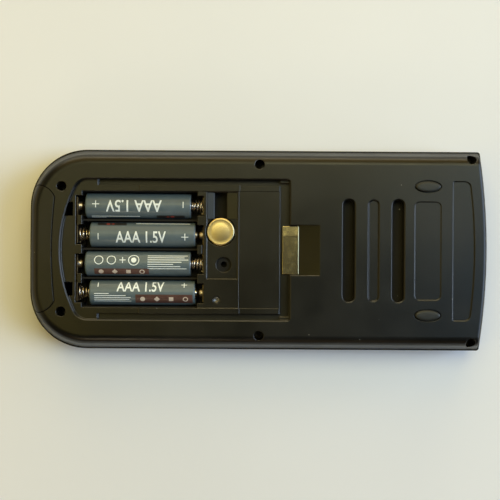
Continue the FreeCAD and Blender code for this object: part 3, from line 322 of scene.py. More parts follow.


# %% [markdown]
# ## Metals
# The contacts are plated strip, the springs plated wire and the button cell a pressed steel can. The warm
# light of the room gives them all a touch of gold, and the button cell's gold colour is a painted warm
# reflection, while the contact strip's dark brown colour is painted shade. Fine rolling lines break up the
# reflection, and tarnish spots change the colour and the gloss together.

# %% Metal finishes
TARNISH_ROUGHNESS = 0.14


def plated(name, bright, dull, roughness, stretch, bump, tarnish=1.0, edge=0.12 * MM):
    """Plated metal; turned pieces have round edges of their own and take no edge rounding."""
    material, tree, shader = new_finish(name, Metallic=1.0)
    lines = use_group(tree, lines_group, {"Stretch": stretch})
    spots = times(tree, lines["Tarnish"], tarnish)
    fine = add(tree, "Bump", {"Height": lines["Lines"], "Strength": bump, "Distance": 0.02 * MM})
    if edge:
        tree.links.new(use_group(tree, edge_group, {"Radius": edge})["Normal"], fine.inputs["Normal"])
    feed(tree, shader, Base_Color=blend(tree, spots, rgb(*bright), rgb(*dull)),
         Roughness=between(tree, spots, roughness, roughness + TARNISH_ROUGHNESS), Normal=fine.outputs[0])
    return material


latch_finish = plated("latch_sheet", (0.77, 0.67, 0.41), (0.63, 0.53, 0.30), 0.17,
                      (400.0, 7000.0, 400.0), 0.05, tarnish=0.25, edge=None)
# Painted shade: the contact strip is coloured dark brown for the shade of the bay.
contact_shade_finish = plated("contact_strip_painted_shade", (0.13, 0.10, 0.06), (0.06, 0.045, 0.03), 0.40,
                        (300.0, 300.0, 6000.0), 0.20)
button_finish = plated("contact_button", (0.80, 0.72, 0.66), (0.60, 0.50, 0.42), 0.36,
                       (900.0, 900.0, 900.0), 0.10)
spring_finish = plated("spring_wire", (0.94, 0.86, 0.80), (0.64, 0.53, 0.44), 0.24,
                       (1500.0, 1500.0, 1500.0), 0.08, edge=None)
# Painted reflection: the steel can is coloured gold for the warm room it reflects.
coin_finish = plated("coin_can", (0.68, 0.55, 0.31), (0.60, 0.47, 0.24), 0.29,
                     (2500.0, 2500.0, 2500.0), 0.002, tarnish=0.1, edge=None)
can_finish = plated("cell_steel", (0.76, 0.71, 0.64), (0.54, 0.47, 0.38), 0.24,
                    (300.0, 4000.0, 4000.0), 0.10, edge=None)
screw_finish = plated("screw_steel", (0.06, 0.06, 0.06), (0.04, 0.035, 0.03), 0.38,
                      (3000.0, 3000.0, 300.0), 0.20)
print("metals", [m.name for m in (latch_finish, contact_shade_finish, button_finish, spring_finish, coin_finish,
                                  can_finish, screw_finish)])

# %% Finish of the reset pin
pin_finish, tree, shader = new_finish("reset_pin", Coat_Weight=0.4, Coat_Roughness=0.08)
grain = use_group(tree, grain_group, {"Fineness": 2600.0})
feed(tree, shader, Base_Color=blend(tree, grain["Tone"], rgb(0.075, 0.075, 0.070), rgb(0.10, 0.10, 0.092)),
     Roughness=between(tree, grain["Tone"], 0.16, 0.26))
print(pin_finish.name, "made")

# %% [markdown]
# ## Finishes of the inside and of the front
# Little of this shows while the machine lies on its front, but the pieces are there and a viewer can turn
# them over: a green board, resin, silicone rubber, and a grey-green display with a field of eight by eight
# squares.


# %% Board, resin, rubber and small parts
def speckled(name, first, second, roughness, scale, **sockets):
    """A plain finish whose colour and gloss drift between two close tones."""
    material, tree, shader = new_finish(name, **sockets)
    grain = use_group(tree, grain_group, {"Fineness": scale, "Unevenness": scale / 12})
    edges = use_group(tree, edge_group, {"Radius": 0.15 * MM})
    bumped = add(tree, "Bump", {"Height": grain["Height"], "Normal": edges["Normal"], "Strength": 0.15,
                                "Distance": 0.04 * MM}).outputs[0]
    feed(tree, shader, Base_Color=blend(tree, grain["Tone"], rgb(*first), rgb(*second)),
         Roughness=between(tree, grain["Tone"], roughness, roughness + 0.1), Normal=bumped)
    return material


board_finish = speckled("solder_mask", (0.012, 0.085, 0.028), (0.018, 0.11, 0.036), 0.30, 3000.0)
resin_finish = speckled("resin_drop", (0.010, 0.010, 0.010), (0.016, 0.015, 0.014), 0.22, 900.0)
rubber_finish = speckled("silicone", (0.16, 0.16, 0.155), (0.20, 0.20, 0.19), 0.50, 2600.0)
component_finish = speckled("component_shell", (0.03, 0.03, 0.032), (0.05, 0.05, 0.05), 0.40, 2400.0)
print("inner finishes", board_finish.name, resin_finish.name, rubber_finish.name, component_finish.name)

# %% Display glass and window
FIELD = 48.0 * MM
SQUARES = 8
DARKEST = 0.7
glass_low, glass_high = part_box("display_glass")
glass_finish, tree, shader = new_finish("display_glass", Coat_Weight=0.6, Coat_Roughness=0.05)
grain = use_group(tree, grain_group, {"Fineness": 5200.0})
corner = (glass_low + glass_high) / 2 - Vector((FIELD / 2, FIELD / 2, 0))
place = add(tree, "TexCoord").outputs["Object"]
local = add(tree, "VectorMath", {0: place, 1: corner}, operation="SUBTRACT").outputs[0]
squares = add(tree, "TexChecker", {"Vector": local, "Scale": SQUARES / FIELD}).outputs["Fac"]
inside = []
for part in add(tree, "SeparateXYZ", {0: local}).outputs[:2]:
    from_middle = maths(tree, "ABSOLUTE", maths(tree, "SUBTRACT", part, FIELD / 2))
    inside.append(maths(tree, "LESS_THAN", from_middle, FIELD / 2))
drawn = times(tree, times(tree, *inside), squares)
pale = blend(tree, grain["Tone"], rgb(0.22, 0.25, 0.18), rgb(0.26, 0.29, 0.21))
feed(tree, shader, Base_Color=blend(tree, times(tree, drawn, DARKEST), pale, rgb(0.07, 0.085, 0.07)),
     Roughness=between(tree, grain["Tone"], 0.18, 0.28))
window_finish, tree, shader = new_finish("display_window", Transmission_Weight=1.0, IOR=1.49)
grain = use_group(tree, grain_group, {"Fineness": 900.0})
feed(tree, shader, Base_Color=blend(tree, grain["Tone"], rgb(0.90, 0.92, 0.92), rgb(0.95, 0.96, 0.96)),
     Roughness=between(tree, grain["Tone"], 0.02, 0.06))
print("display field", round(FIELD / MM), "mm square")

# %% Finishes go on the solids
finishes = {
    "case": case_finish, "grip": grip_finish, "foot": foot_finish, "latch": latch_finish,
    "cell_wrap": can_finish, "coin": coin_finish, "contact": contact_shade_finish, "spring": spring_finish,
    "screw": screw_finish, "window": window_finish, "glass": glass_finish, "inner_frame": frame_finish,
    "elastomer": rubber_finish, "board": board_finish, "resin": resin_finish, "component": component_finish,
    "reset": pin_finish, "key": key_finish,
}
for subpart in frame["record"]["subparts"]:
    slots = nodes[subpart["node"]].data.materials
    slots.clear()
    slots.append(finishes[subpart["material_slot"]])

# %% [markdown]
# ## Helpers for pieces
# A detailed piece is drawn as a mesh, gets its finishes and rides on one body of the frame, so it moves when
# that body moves. Edges are rounded by a modifier, which leaves the mesh under it as it was drawn.

# %% Piece helpers
SHARP = math.radians(40)
CELLS = range(1, 5)


def new_piece(name, data, body):
    piece = bpy.data.objects.new(name, data)
    scene.collection.objects.link(piece)
    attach(piece, body)
    return piece


def mesh_from(name, maker, *materials):
    """Turn what a bmesh holds into a mesh with its finishes, and free the bmesh."""
    mesh = bpy.data.meshes.new(name)
    maker.to_mesh(mesh)
    maker.free()
    for material in materials:
        mesh.materials.append(material)
    return mesh


def round_edges(piece, name, width, segments, **options):
    rounding = piece.modifiers.new(name, "BEVEL")
    rounding.width = width
    rounding.segments = segments
    for option, value in options.items():
        setattr(rounding, option, value)


def cut_across(sheet, y):
    """Cut every face of a bmesh along the line at y."""
    everything = sheet.verts[:] + sheet.edges[:] + sheet.faces[:]
    bmesh.ops.bisect_plane(sheet, geom=everything, plane_co=(0, y, 0), plane_no=(0, 1, 0))


def cell_way(number):
    """Odd cells point to -X, even ones to +X."""
    return -1 if number % 2 else 1


print("helpers for", len(CELLS), "cells and the pieces round them")

# %% [markdown]
# ## Springs
# Each cell is pushed by a tapered coil of plated wire. A screw modifier could wind one, but a curve that
# follows the formula of the coil is easier to read: the radius shrinks as the angle grows. Both ends run on
# for half a turn with no rise, as the closed ends of a real spring do. A round bevel gives the wire.

# %% Wind the springs
WIRE = 0.6 * MM
TAPER = 1.3 * MM
TURNS = 3
POINTS_PER_TURN = 16
END_POINTS = POINTS_PER_TURN // 2


def wound(name, node, way):
    """A coil that starts wide at its plate and grows along way (+1 or -1 on X)."""
    low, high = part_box(node)
    centre = (low + high) / 2
    wide = (high.z - low.z - WIRE) / 2
    start = (low.x if way > 0 else high.x) + way * WIRE / 2
    rise = high.x - low.x - WIRE
    curve = bpy.data.curves.new(name, "CURVE")
    curve.dimensions = "3D"
    curve.bevel_depth = WIRE / 2
    curve.bevel_resolution = 4
    curve.use_fill_caps = True
    rising = POINTS_PER_TURN * TURNS
    steps = range(-END_POINTS, rising + END_POINTS + 1)
    spline = curve.splines.new("NURBS")
    spline.points.add(len(steps) - 1)
    for point, index in zip(spline.points, steps):
        share = min(max(index / rising, 0), 1)
        angle = 2 * math.pi * index / POINTS_PER_TURN
        radius = wide - TAPER * share
        point.co = (start + way * rise * share, centre.y + radius * math.cos(angle),
                    centre.z + radius * math.sin(angle), 1)
    spline.order_u = 4
    spline.use_endpoint_u = True
    curve.materials.append(spring_finish)
    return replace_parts(new_piece(name, curve, "case"), node)


for number in CELLS:
    wound(f"coil_{number}", f"spring_{number}", cell_way(number))
print(len(CELLS), "springs of", TURNS + 1, "turns of", WIRE / MM, "mm wire")

# %% [markdown]
# ## Battery cells
# A cell is a turned shape: a dished foot, a crimp, a long wrap whose shrunk ends curl over the can, a
# shoulder and a raised tip. A cylinder primitive has none of that, so the profile is written down as a row
# of points and spun round the axis.

# %% Spin a profile
SEGMENTS = 96


def spun(name, profile, origin, axis, materials):
    """Spin rows of (along, radius) or (along, radius, finish number) in mm round an axis through origin."""
    axis = Vector(axis)
    side = Vector((0, 0, 1)) if abs(axis.z) < 0.5 else Vector((1, 0, 0))
    other = axis.cross(side)
    maker = bmesh.new()
    rings = []
    for along, radius, *_ in profile:
        centre = origin + axis * along * MM
        if radius == 0:
            rings.append([maker.verts.new(centre)])
            continue
        angles = (2 * math.pi * index / SEGMENTS for index in range(SEGMENTS))
        rings.append([maker.verts.new(centre + (side * math.cos(a) + other * math.sin(a)) * radius * MM)
                      for a in angles])
    for row, near, far in zip(profile, rings, rings[1:]):
        for index in range(SEGMENTS):
            after = (index + 1) % SEGMENTS
            corners = [near[index % len(near)], far[index % len(far)],
                       far[after % len(far)], near[after % len(near)]]
            face = maker.faces.new(list(dict.fromkeys(corners)))
            face.material_index = row[2] if len(row) > 2 else 0
            face.smooth = True
    bmesh.ops.recalc_face_normals(maker, faces=maker.faces)
    mesh = mesh_from(name, maker, *materials)
    mesh.set_sharp_from_angle(angle=SHARP)
    return mesh


print("profiles are spun in", SEGMENTS, "steps")

# %% Printed wrap
wrap_finish, tree, shader = new_finish("cell_wrap", Coat_Weight=0.25, Coat_Roughness=0.14)
grain = use_group(tree, grain_group, {"Fineness": 2400.0, "Unevenness": 260.0})
dust = use_group(tree, dust_group, {"Spread": 420.0, "Speck": 0.05})
slate = blend(tree, grain["Tone"], rgb(0.079, 0.113, 0.136), rgb(0.091, 0.128, 0.153))
scuffed = blend(tree, times(tree, dust["Specks"], 0.6), slate, rgb(0.28, 0.29, 0.28))
bumped = add(tree, "Bump", {"Height": grain["Tone"], "Strength": 0.12, "Distance": 0.08 * MM}).outputs[0]
feed(tree, shader, Base_Color=scuffed, Roughness=between(tree, grain["Tone"], 0.50, 0.56), Normal=bumped)
print(wrap_finish.name, "made")

# %% Turn the four cells
WRAP, STEEL, RING = 0, 1, 2
CELL_PROFILE = [
    (0.25, 0.0, STEEL), (0.25, 2.5, STEEL), (0.02, 2.8, STEEL), (0.0, 3.9, STEEL), (0.10, 4.25, STEEL),
    (0.42, 4.42, STEEL), (0.36, 4.60, WRAP), (0.12, 4.72, WRAP), (0.10, 4.90, WRAP), (0.22, 5.10, WRAP),
    (0.48, 5.23, WRAP), (0.90, 5.25, WRAP), (21.8, 5.25, WRAP), (42.8, 5.25, WRAP), (43.25, 5.22, WRAP),
    (43.52, 5.08, WRAP), (43.66, 4.86, WRAP), (43.62, 4.62, WRAP), (43.40, 4.50, RING), (43.42, 2.35, RING),
    (43.60, 2.15, STEEL), (43.66, 1.92, STEEL), (44.20, 1.88, STEEL), (44.42, 1.70, STEEL),
    (44.50, 1.35, STEEL), (44.44, 0.6, STEEL), (44.44, 0.0, STEEL),
]
CELL_LENGTH = max(along for along, _, _ in CELL_PROFILE)
WRAP_RADIUS = max(radius for _, radius, _ in CELL_PROFILE)
ring_finish = speckled("cell_seal", (0.42, 0.40, 0.36), (0.50, 0.48, 0.43), 0.45, 2400.0)


def cell_axis(number):
    """Middle of a cell's box, its foot on the axis, and the way it points on X."""
    low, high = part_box(f"cell_{number}")
    middle, way = (low + high) / 2, cell_way(number)
    return middle, Vector((low.x if way > 0 else high.x, middle.y, middle.z)), way


for number in CELLS:
    _, foot, way = cell_axis(number)
    mesh = spun(f"battery_{number}", CELL_PROFILE, foot, (way, 0, 0), [wrap_finish, can_finish, ring_finish])
    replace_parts(new_piece(f"battery_{number}", mesh, f"cell_{number}_body"), f"cell_{number}")
print(len(CELLS), "cells of", CELL_LENGTH, "mm")

# %% [markdown]
# ## Printing on the wraps
# The print is a thin layer of ink that follows the wrap. A texture would need unwrapping; instead each mark
# is a flat outline that is cut into narrow strips and bent round the cell, a hair above it. The marks are
# plain ones: signs for the poles, the size and voltage, ruled lines, rings, dots and a brown band of shapes.

# %% Inks
white_ink = speckled("white_ink", (0.74, 0.82, 0.86), (0.80, 0.88, 0.92), 0.42, 2000.0)
brown_ink = speckled("brown_ink", (0.080, 0.036, 0.030), (0.100, 0.046, 0.040), 0.40, 1800.0)
black_ink = speckled("black_ink", (0.016, 0.016, 0.017), (0.024, 0.023, 0.023), 0.32, 1800.0)
red_ink = speckled("red_ink", (0.20, 0.030, 0.026), (0.26, 0.045, 0.036), 0.36, 1800.0)
pale_ink = speckled("pale_ink", (0.55, 0.46, 0.40), (0.64, 0.55, 0.48), 0.42, 2000.0)
INKS = {"white": white_ink, "brown": brown_ink, "black": black_ink, "red": red_ink, "pale": pale_ink}
print(len(INKS), "inks")

# %% Flat marks
SIGN_STROKE = 0.34
CAPITAL_SHARE = 0.72
BOLDNESS = 0.02


def bar(left, low, right, high):
    return [[(left, low), (right, low), (right, high), (left, high)]]


def dot(x, y, radius, corners=20, start=0.0):
    angles = [start + 2 * math.pi * index / corners for index in range(corners)]
    return [[(x + radius * math.cos(a), y + radius * math.sin(a)) for a in angles]]


def ring(x, y, radius, stroke, corners=28):
    inner, outer = dot(x, y, radius - stroke, corners)[0], dot(x, y, radius, corners)[0]
    return [[inner[i], outer[i], outer[(i + 1) % corners], inner[(i + 1) % corners]] for i in range(corners)]


def minus(x, y, size):
    """The sign of a pole stands across the cell."""
    return bar(x - SIGN_STROKE / 2, y - size / 2, x + SIGN_STROKE / 2, y + size / 2)


def plus(x, y, size):
    """A minus with an arm on each side, which doesn't overlap it."""
    half, arm = SIGN_STROKE / 2, size / 2 - SIGN_STROKE / 2
    return (minus(x, y, size) + bar(x - half - arm, y - half, x - half, y + half)
            + bar(x + half, y - half, x + half + arm, y + half))


def figures(words, x, y, height, stretch):
    """Outlines of a few plain figures, centred on x and y."""
    font = bpy.data.curves.new("figures", "FONT")
    font.body = words
    font.size = height / CAPITAL_SHARE
    font.align_x = "CENTER"
    font.offset = BOLDNESS * height
    holder = bpy.data.objects.new("figures", font)
    flat = bpy.data.meshes.new_from_object(holder)
    flat_points = [(x + stretch * v.co.x, y + v.co.y - height / 2) for v in flat.vertices]
    outlines = [[flat_points[index] for index in face.vertices] for face in flat.polygons]
    bpy.data.objects.remove(holder)
    bpy.data.curves.remove(font)
    bpy.data.meshes.remove(flat)
    return outlines


def turned_about(outlines):
    return [[(-x, -y) for x, y in outline] for outline in outlines]


def ruled(left, low, lengths, pitch, stroke):
    """Ruled lines under each other, as plain print too fine to read."""
    lines = []
    for row, length in enumerate(lengths):
        lines += bar(left, low - row * pitch, left + length, low - row * pitch + stroke)
    return lines


def brown_band(left, low, right, high):
    """A band with four plain pale shapes: disc, diamond, square and ring."""
    step = (right - left) / 4
    y = (low + high) / 2
    xs = [left + step * (index + 0.5) for index in range(4)]
    shapes = (dot(xs[0], y, 1.05) + dot(xs[1], y, 1.25, 4, math.pi / 2) + dot(xs[2], y, 1.3, 4, math.pi / 4)
              + ring(xs[3], y, 1.1, 0.42))
    return [("brown", bar(left, low, right, high)), ("pale", shapes)]


print("marks ready")

# %% Bend the marks round the wraps
INK_LIFT = 0.03
LAYER_LIFT = 0.25 * INK_LIFT
STRIP = 0.45
SIZE_AND_VOLTAGE = "AAA 1.5V"


def printed(name, number, layers):
    """Bend layers of (ink, outlines) round a cell; x runs along it and y round it, both in mm."""
    middle, _, _ = cell_axis(number)
    sheet = bmesh.new()
    inks = list(dict.fromkeys(ink for ink, _ in layers))
    for level, (ink, outlines) in enumerate(layers):
        for outline in outlines:
            face = sheet.faces.new([sheet.verts.new((x, y, LAYER_LIFT * level)) for x, y in outline])
            face.material_index = inks.index(ink)
    strips = round(2 * WRAP_RADIUS / STRIP)
    for index in range(-strips, strips + 1):
        cut_across(sheet, index * STRIP)
    for vert in sheet.verts:
        radius = WRAP_RADIUS + INK_LIFT + vert.co.z
        angle = vert.co.y / WRAP_RADIUS
        vert.co = (middle.x + vert.co.x * MM, middle.y + radius * math.sin(angle) * MM,
                   middle.z + radius * math.cos(angle) * MM)
    mesh = mesh_from(name, sheet, *(INKS[ink] for ink in inks))
    return new_piece(name, mesh, f"cell_{number}_body")


printed("print_1", 1, [
    ("white", turned_about(figures(SIZE_AND_VOLTAGE, 1.3, 0.3, 5.0, 0.80))),
    ("white", plus(-17.0, 0.6, 2.9) + minus(19.0, 0.4, 2.6)),
    ("white", ruled(-19.0, -5.3, (20.0, 6.0), 0.9, 0.42)),
    ("black", bar(8.0, -6.4, 19.5, -4.4)),
    ("red", dot(14.5, -5.4, 0.8) + dot(12.6, -5.4, 0.55))])
printed("print_2", 2, [
    ("white", figures(SIZE_AND_VOLTAGE, -1.0, -0.9, 5.0, 0.72)),
    ("white", minus(-18.5, -0.8, 2.6) + plus(17.2, -0.9, 2.9)),
    ("black", bar(-19.0, 4.3, -7.0, 6.2)),
    ("red", dot(-14.6, 5.2, 0.8) + dot(-12.6, 5.2, 0.55)),
    ("white", ruled(-3.2, 5.2, (22.5,), 0.9, 0.5))])
printed("print_3", 3, [
    ("white", ring(-15.6, 1.6, 1.9, SIGN_STROKE) + ring(-10.4, 1.6, 1.9, SIGN_STROKE)
     + ring(-1.2, 1.6, 2.3, SIGN_STROKE) + plus(-5.8, 1.6, 2.6) + dot(-1.2, 1.6, 1.1)),
    ("white", ruled(4.5, 3.4, (16.5, 15.2, 16.8, 14.0, 10.5, 13.5, 16.0), 0.92, 0.30))]
    + brown_band(-17.5, -5.0, 5.0, -2.0))
printed("print_4", 4, [
    ("white", figures(SIZE_AND_VOLTAGE, -1.0, 3.0, 4.6, 0.74)),
    ("white", minus(-18.5, 3.6, 2.2) + plus(17.0, 3.6, 2.4)),
    ("white", ruled(-20.0, -0.4, (6.0, 13.0, 15.0, 14.5, 15.2), 0.85, 0.28))]
    + brown_band(-3.0, -4.6, 20.5, -0.6))
print("four wraps printed")

# %% [markdown]
# ## Button cell
# A pressed can with a rolled edge. A shallow groove runs inside the edge, and from there the top rises by a
# quarter of a millimetre to its middle, so the reflection of the room changes slowly across it. The same
# spinning helper makes it, this time about the upright axis.

# %% Press the button cell
coin_low, coin_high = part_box("coin_cell")
coin_centre = (coin_low + coin_high) / 2
rim = (coin_high.x - coin_low.x) / 2 / MM
top = (coin_high.z - coin_low.z) / MM
COIN_PROFILE = [
    (0.0, 0.0), (0.0, 4.2), (0.12, 4.5), (0.60, 4.6), (0.66, 5.2), (0.80, 5.6), (1.05, rim),
    (top - 0.55, rim), (top - 0.28, rim - 0.07), (top - 0.10, rim - 0.25), (top - 0.02, rim - 0.50),
    (top, rim - 0.75), (top - 0.05, rim - 1.0), (top + 0.08, 3.4), (top + 0.17, 2.0), (top + 0.20, 1.0),
    (top + 0.21, 0.0),
]
mesh = spun("button_cell", COIN_PROFILE, Vector((coin_centre.x, coin_centre.y, coin_low.z)), (0, 0, 1),
            [coin_finish])
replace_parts(new_piece("button_cell", mesh, "coin_body"), "coin_cell")
print("button cell", round(2 * rim, 1), "mm across")

# %% [markdown]
# ## Latch plate
# A strip of plated sheet holds the door's catch at the finger notch. Its edges are rounded by the punch and
# its upper end is bent down a little, so that end mirrors another part of the room.

# %% Bend the latch plate
LATCH_BEND = math.radians(1.6)
LATCH_BENT_PART = 3.8 * MM
LATCH_EDGE = 0.12 * MM
low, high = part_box("latch_plate")
sheet = bmesh.new()
bmesh.ops.create_cube(sheet, size=1)
for vert in sheet.verts:
    vert.co = [lo + (hi - lo) * (part + 0.5) for part, lo, hi in zip(vert.co, low, high)]
bend_line = high.y - LATCH_BENT_PART
cut_across(sheet, bend_line)
for vert in sheet.verts:
    vert.co.z -= math.tan(LATCH_BEND) * max(vert.co.y - bend_line, 0)
mesh = mesh_from("latch_sheet", sheet, latch_finish)
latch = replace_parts(new_piece("latch_sheet", mesh, "case"), "latch_plate")
round_edges(latch, "punched_edge", LATCH_EDGE, 3, harden_normals=True)
print("latch plate bent by", round(math.degrees(LATCH_BEND), 1), "degrees")

# %% [markdown]
# ## Contact buttons
# The pole at the flat end of each cell meets a spring, the pole at the raised end a button pressed into the
# contact plate. The plates stand in the dark of the bay and their colour is painted dark brown as painted
# shade, and only the buttons shine, so each button gets a turned cap over the plain one, a hair proud of it.

# %% Turn the contact buttons
BUTTON_PROFILE = [(0.0, 2.3), (0.25, 2.25), (0.4, 2.0), (0.5, 1.85), (1.6, 1.72), (1.95, 1.55), (2.05, 1.2),
                  (1.98, 0.6), (1.98, 0.0)]
BUTTON_HEIGHT = max(along for along, _ in BUTTON_PROFILE)
BUTTON_PROUD = 0.03
BUTTON_PLATES = {1: "contact_left_upper", 2: "contact_right_middle", 3: "contact_left_lower",
                 4: "contact_right_lower"}
for number, plate in BUTTON_PLATES.items():
    middle, _, way = cell_axis(number)
    low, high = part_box(plate)
    tip = low.x if way > 0 else high.x
    base = Vector((tip + way * (BUTTON_HEIGHT - BUTTON_PROUD) * MM, middle.y, middle.z))
    mesh = spun(f"button_{number}", BUTTON_PROFILE, base, (-way, 0, 0), [button_finish])
    new_piece(f"button_{number}", mesh, "case")
print(len(BUTTON_PLATES), "contact buttons")

# %% [markdown]
# ## Small pieces of the door recess
# Beside the pry slot the floor falls away on both sides like a shallow scoop, so a fingernail finds the
# button cell. A fine rib runs down beside the sunk panel, and a low ledge closes each end of it. The reset
# pin has a dished head that keeps a pen tip in place, and the feet are small rubber domes with a gap round
# them.

# %% Scoops, rib and ledges
MOULDED_EDGE = 0.15 * MM
RECESS_OVER_PIN, ZONE_DEPTH = 0.35 * MM, 1.2 * MM
SLOT_LEFT, SLOT_RIGHT = coin_centre.x - 2.5 * MM, coin_centre.x + 2.5 * MM
ZONE_LEFT, ZONE_RIGHT = coin_centre.x - 5.6 * MM, coin_centre.x + 7.0 * MM
SCOOP_SPAN = coin_centre.y + 5.2 * MM, coin_centre.y + 16.2 * MM
SCOOP_RISE, SCOOP_LIP, SCOOP_ROOT = 0.75 * MM, 0.05 * MM, 0.1 * MM
RIB_X, RIB_HALF, RIB_REACH = ZONE_RIGHT + 0.45 * MM, 0.2 * MM, 26.0 * MM
RIB_TOPS = 0.25 * MM, 0.20 * MM
LEDGE_REACH, LEDGE_TOP, LEDGE_ROOT = 16.8 * MM, 0.18 * MM, 0.4 * MM
LEDGE_SPAN = 23.9 * MM, 26.35 * MM
recess_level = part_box("reset_button")[1].z + RECESS_OVER_PIN
zone_level = recess_level - ZONE_DEPTH


def wedge(name, x_span, y_span, tops, base):
    """A block from base up to a top that slopes along X; sizes in metres."""
    solid = bmesh.new()
    for x, level in zip(x_span, tops):
        for y in y_span:
            for z in (base, level):
                solid.verts.new((x, y, z))
    bmesh.ops.convex_hull(solid, input=solid.verts)
    bmesh.ops.dissolve_limit(solid, angle_limit=0.01, verts=solid.verts, edges=solid.edges)
    piece = new_piece(name, mesh_from(name, solid, case_finish), "case")
    round_edges(piece, "moulded_edge", MOULDED_EDGE, 3)


high_side, low_side = zone_level + SCOOP_RISE, zone_level + SCOOP_LIP
scoop_base, root = zone_level - SCOOP_ROOT, recess_level - LEDGE_ROOT
wedge("scoop_left", (ZONE_LEFT, SLOT_LEFT), SCOOP_SPAN, (high_side, low_side), scoop_base)
wedge("scoop_right", (SLOT_RIGHT, ZONE_RIGHT), SCOOP_SPAN, (low_side, high_side), scoop_base)
wedge("panel_rib", (RIB_X - RIB_HALF, RIB_X + RIB_HALF), (-RIB_REACH, RIB_REACH),
      (recess_level + RIB_TOPS[0], recess_level + RIB_TOPS[1]), root)
for side, name in ((1, "upper"), (-1, "lower")):
    wedge(f"ledge_{name}", (RIB_X + RIB_HALF, RIB_X + LEDGE_REACH), sorted(side * y for y in LEDGE_SPAN),
          (recess_level + LEDGE_TOP, recess_level + LEDGE_TOP), root)
print("two scoops, a rib and two ledges")

# %% Turn the reset pin
low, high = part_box("reset_button")
tall = (high.z - low.z) / MM
PIN_PROFILE = [
    (0.0, 0.0), (0.0, 1.3), (tall - 3.95, 1.35), (tall - 3.90, 2.2), (tall - 3.00, 2.2), (tall - 2.95, 1.35),
    (tall - 0.30, 1.35), (tall - 0.10, 1.29), (tall, 1.14), (tall - 0.05, 0.98), (tall - 0.25, 0.72),
    (tall - 0.42, 0.38), (tall - 0.48, 0.0),
]
centre = (low + high) / 2
mesh = spun("reset_pin", PIN_PROFILE, Vector((centre.x, centre.y, low.z)), (0, 0, 1), [pin_finish])
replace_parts(new_piece("reset_pin", mesh, "reset_body"), "reset_button")
print("reset pin", round(tall, 1), "mm tall")

# %% Feet, and the rim of the grip pad
PAD_RIM = 0.6 * MM
FOOT_PROFILE = [(0.0, 0.30), (1.15, 0.30), (1.40, 0.38), (1.56, 0.55), (1.64, 0.80), (1.68, 1.20),
                (1.70, 1.70)]


def domed_oval(name, node):
    """A rubber foot: ellipses at heights in mm that draw in towards the top, each by its own inset in mm."""
    low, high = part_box(node)
    middle, half = (low + high) / 2, (high - low) / 2
    dome = bmesh.new()
    rings = []
    for height, inset in FOOT_PROFILE:
        angles = (2 * math.pi * index / SEGMENTS for index in range(SEGMENTS))
        rings.append([dome.verts.new((middle.x + (half.x - inset * MM) * math.cos(a),
                                      middle.y + (half.y - inset * MM) * math.sin(a), low.z + height * MM))
                      for a in angles])
    for near, far in zip(rings, rings[1:]):
        for index in range(SEGMENTS):
            after = (index + 1) % SEGMENTS
            dome.faces.new((near[index], near[after], far[after], far[index])).smooth = True
    dome.faces.new(rings[-1]).smooth = True
    mesh = mesh_from(name, dome, foot_finish)
    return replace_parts(new_piece(name, mesh, "case"), node)


for side in ("upper", "lower"):
    domed_oval(f"foot_dome_{side}", f"foot_{side}")
round_edges(nodes["grip_pad"], "rounded_rim", PAD_RIM, 2, limit_method="ANGLE", angle_limit=SHARP)
print("two feet, and the grip pad's rim is rounded")

# %% [markdown]
# ## Painted shadow in the seam of the grip pad
# A dark strip runs round the soft pad: painted shadow in the seam between pad and case, nearly black and
# with little gloss. Its path is already in the pad's mesh: the sharp edges where the outer skin meets the
# pad's side wall. At each point the wall's normal says which way is across the seam, and the skin's normal
# which way is out, so a small cross-section can be carried along the whole rim. Edges low on the flank, and
# those whose faces look back at the pad's heart, are left out.

# %% Find the rim and carry the seam along it
SEAM_PROFILE = [(-0.10, -0.15), (-0.04, 0.03), (0.16, 0.05), (0.36, 0.03), (0.42, -0.15)]
PAD_HEART = Vector((-89.0, 0.0, 18.0)) * MM
SEAM_FOOT = 15 * MM
SAME_POINT = 0.002 * MM
# Painted shadow: a nearly black, barely glossy strip stands in for the shade in the seam's gap.
seam_shadow_finish = speckled("seam_painted_shadow", (0.0010, 0.0009, 0.0007), (0.0016, 0.0014, 0.0011), 0.80, 2400.0,
                       Specular_IOR_Level=0.08)
pad = bmesh.new()
pad.from_mesh(nodes["grip_pad"].data)
bmesh.ops.remove_doubles(pad, verts=pad.verts, dist=SAME_POINT)
rim_edges, skins, walls = [], {}, {}
for edge in pad.edges:
    spot = (edge.verts[0].co + edge.verts[1].co) / 2
    if len(edge.link_faces) != 2 or edge.calc_face_angle() < SHARP or spot.z < SEAM_FOOT:
        continue
    if min(face.normal.dot(spot - PAD_HEART) for face in edge.link_faces) < 0:
        continue
    wall, skin = sorted((face.normal for face in edge.link_faces), key=lambda normal: abs(normal.z))
    rim_edges.append([vert.index for vert in edge.verts])
    for vert in edge.verts:
        skins.setdefault(vert.index, []).append(skin)
        walls.setdefault(vert.index, []).append(wall)
pad.verts.ensure_lookup_table()
shadow_strip = bmesh.new()
sections = {}
for index in skins:
    out = sum(skins[index], Vector()).normalized()
    across = sum(walls[index], Vector())
    across = (across - across.dot(out) * out).normalized()
    sections[index] = [shadow_strip.verts.new(pad.verts[index].co + (side * across + lift * out) * MM)
                       for side, lift in SEAM_PROFILE]
for first, second in rim_edges:
    for step in range(len(SEAM_PROFILE) - 1):
        shadow_strip.faces.new((sections[first][step], sections[second][step], sections[second][step + 1],
                       sections[first][step + 1])).smooth = True
bmesh.ops.recalc_face_normals(shadow_strip, faces=shadow_strip.faces)
pad.free()
mesh = mesh_from("grip_seam_shadow", shadow_strip, seam_shadow_finish)
new_piece("grip_seam_shadow", mesh, "case")
print("seam of", len(mesh.polygons), "faces along", len(rim_edges), "rim edges")

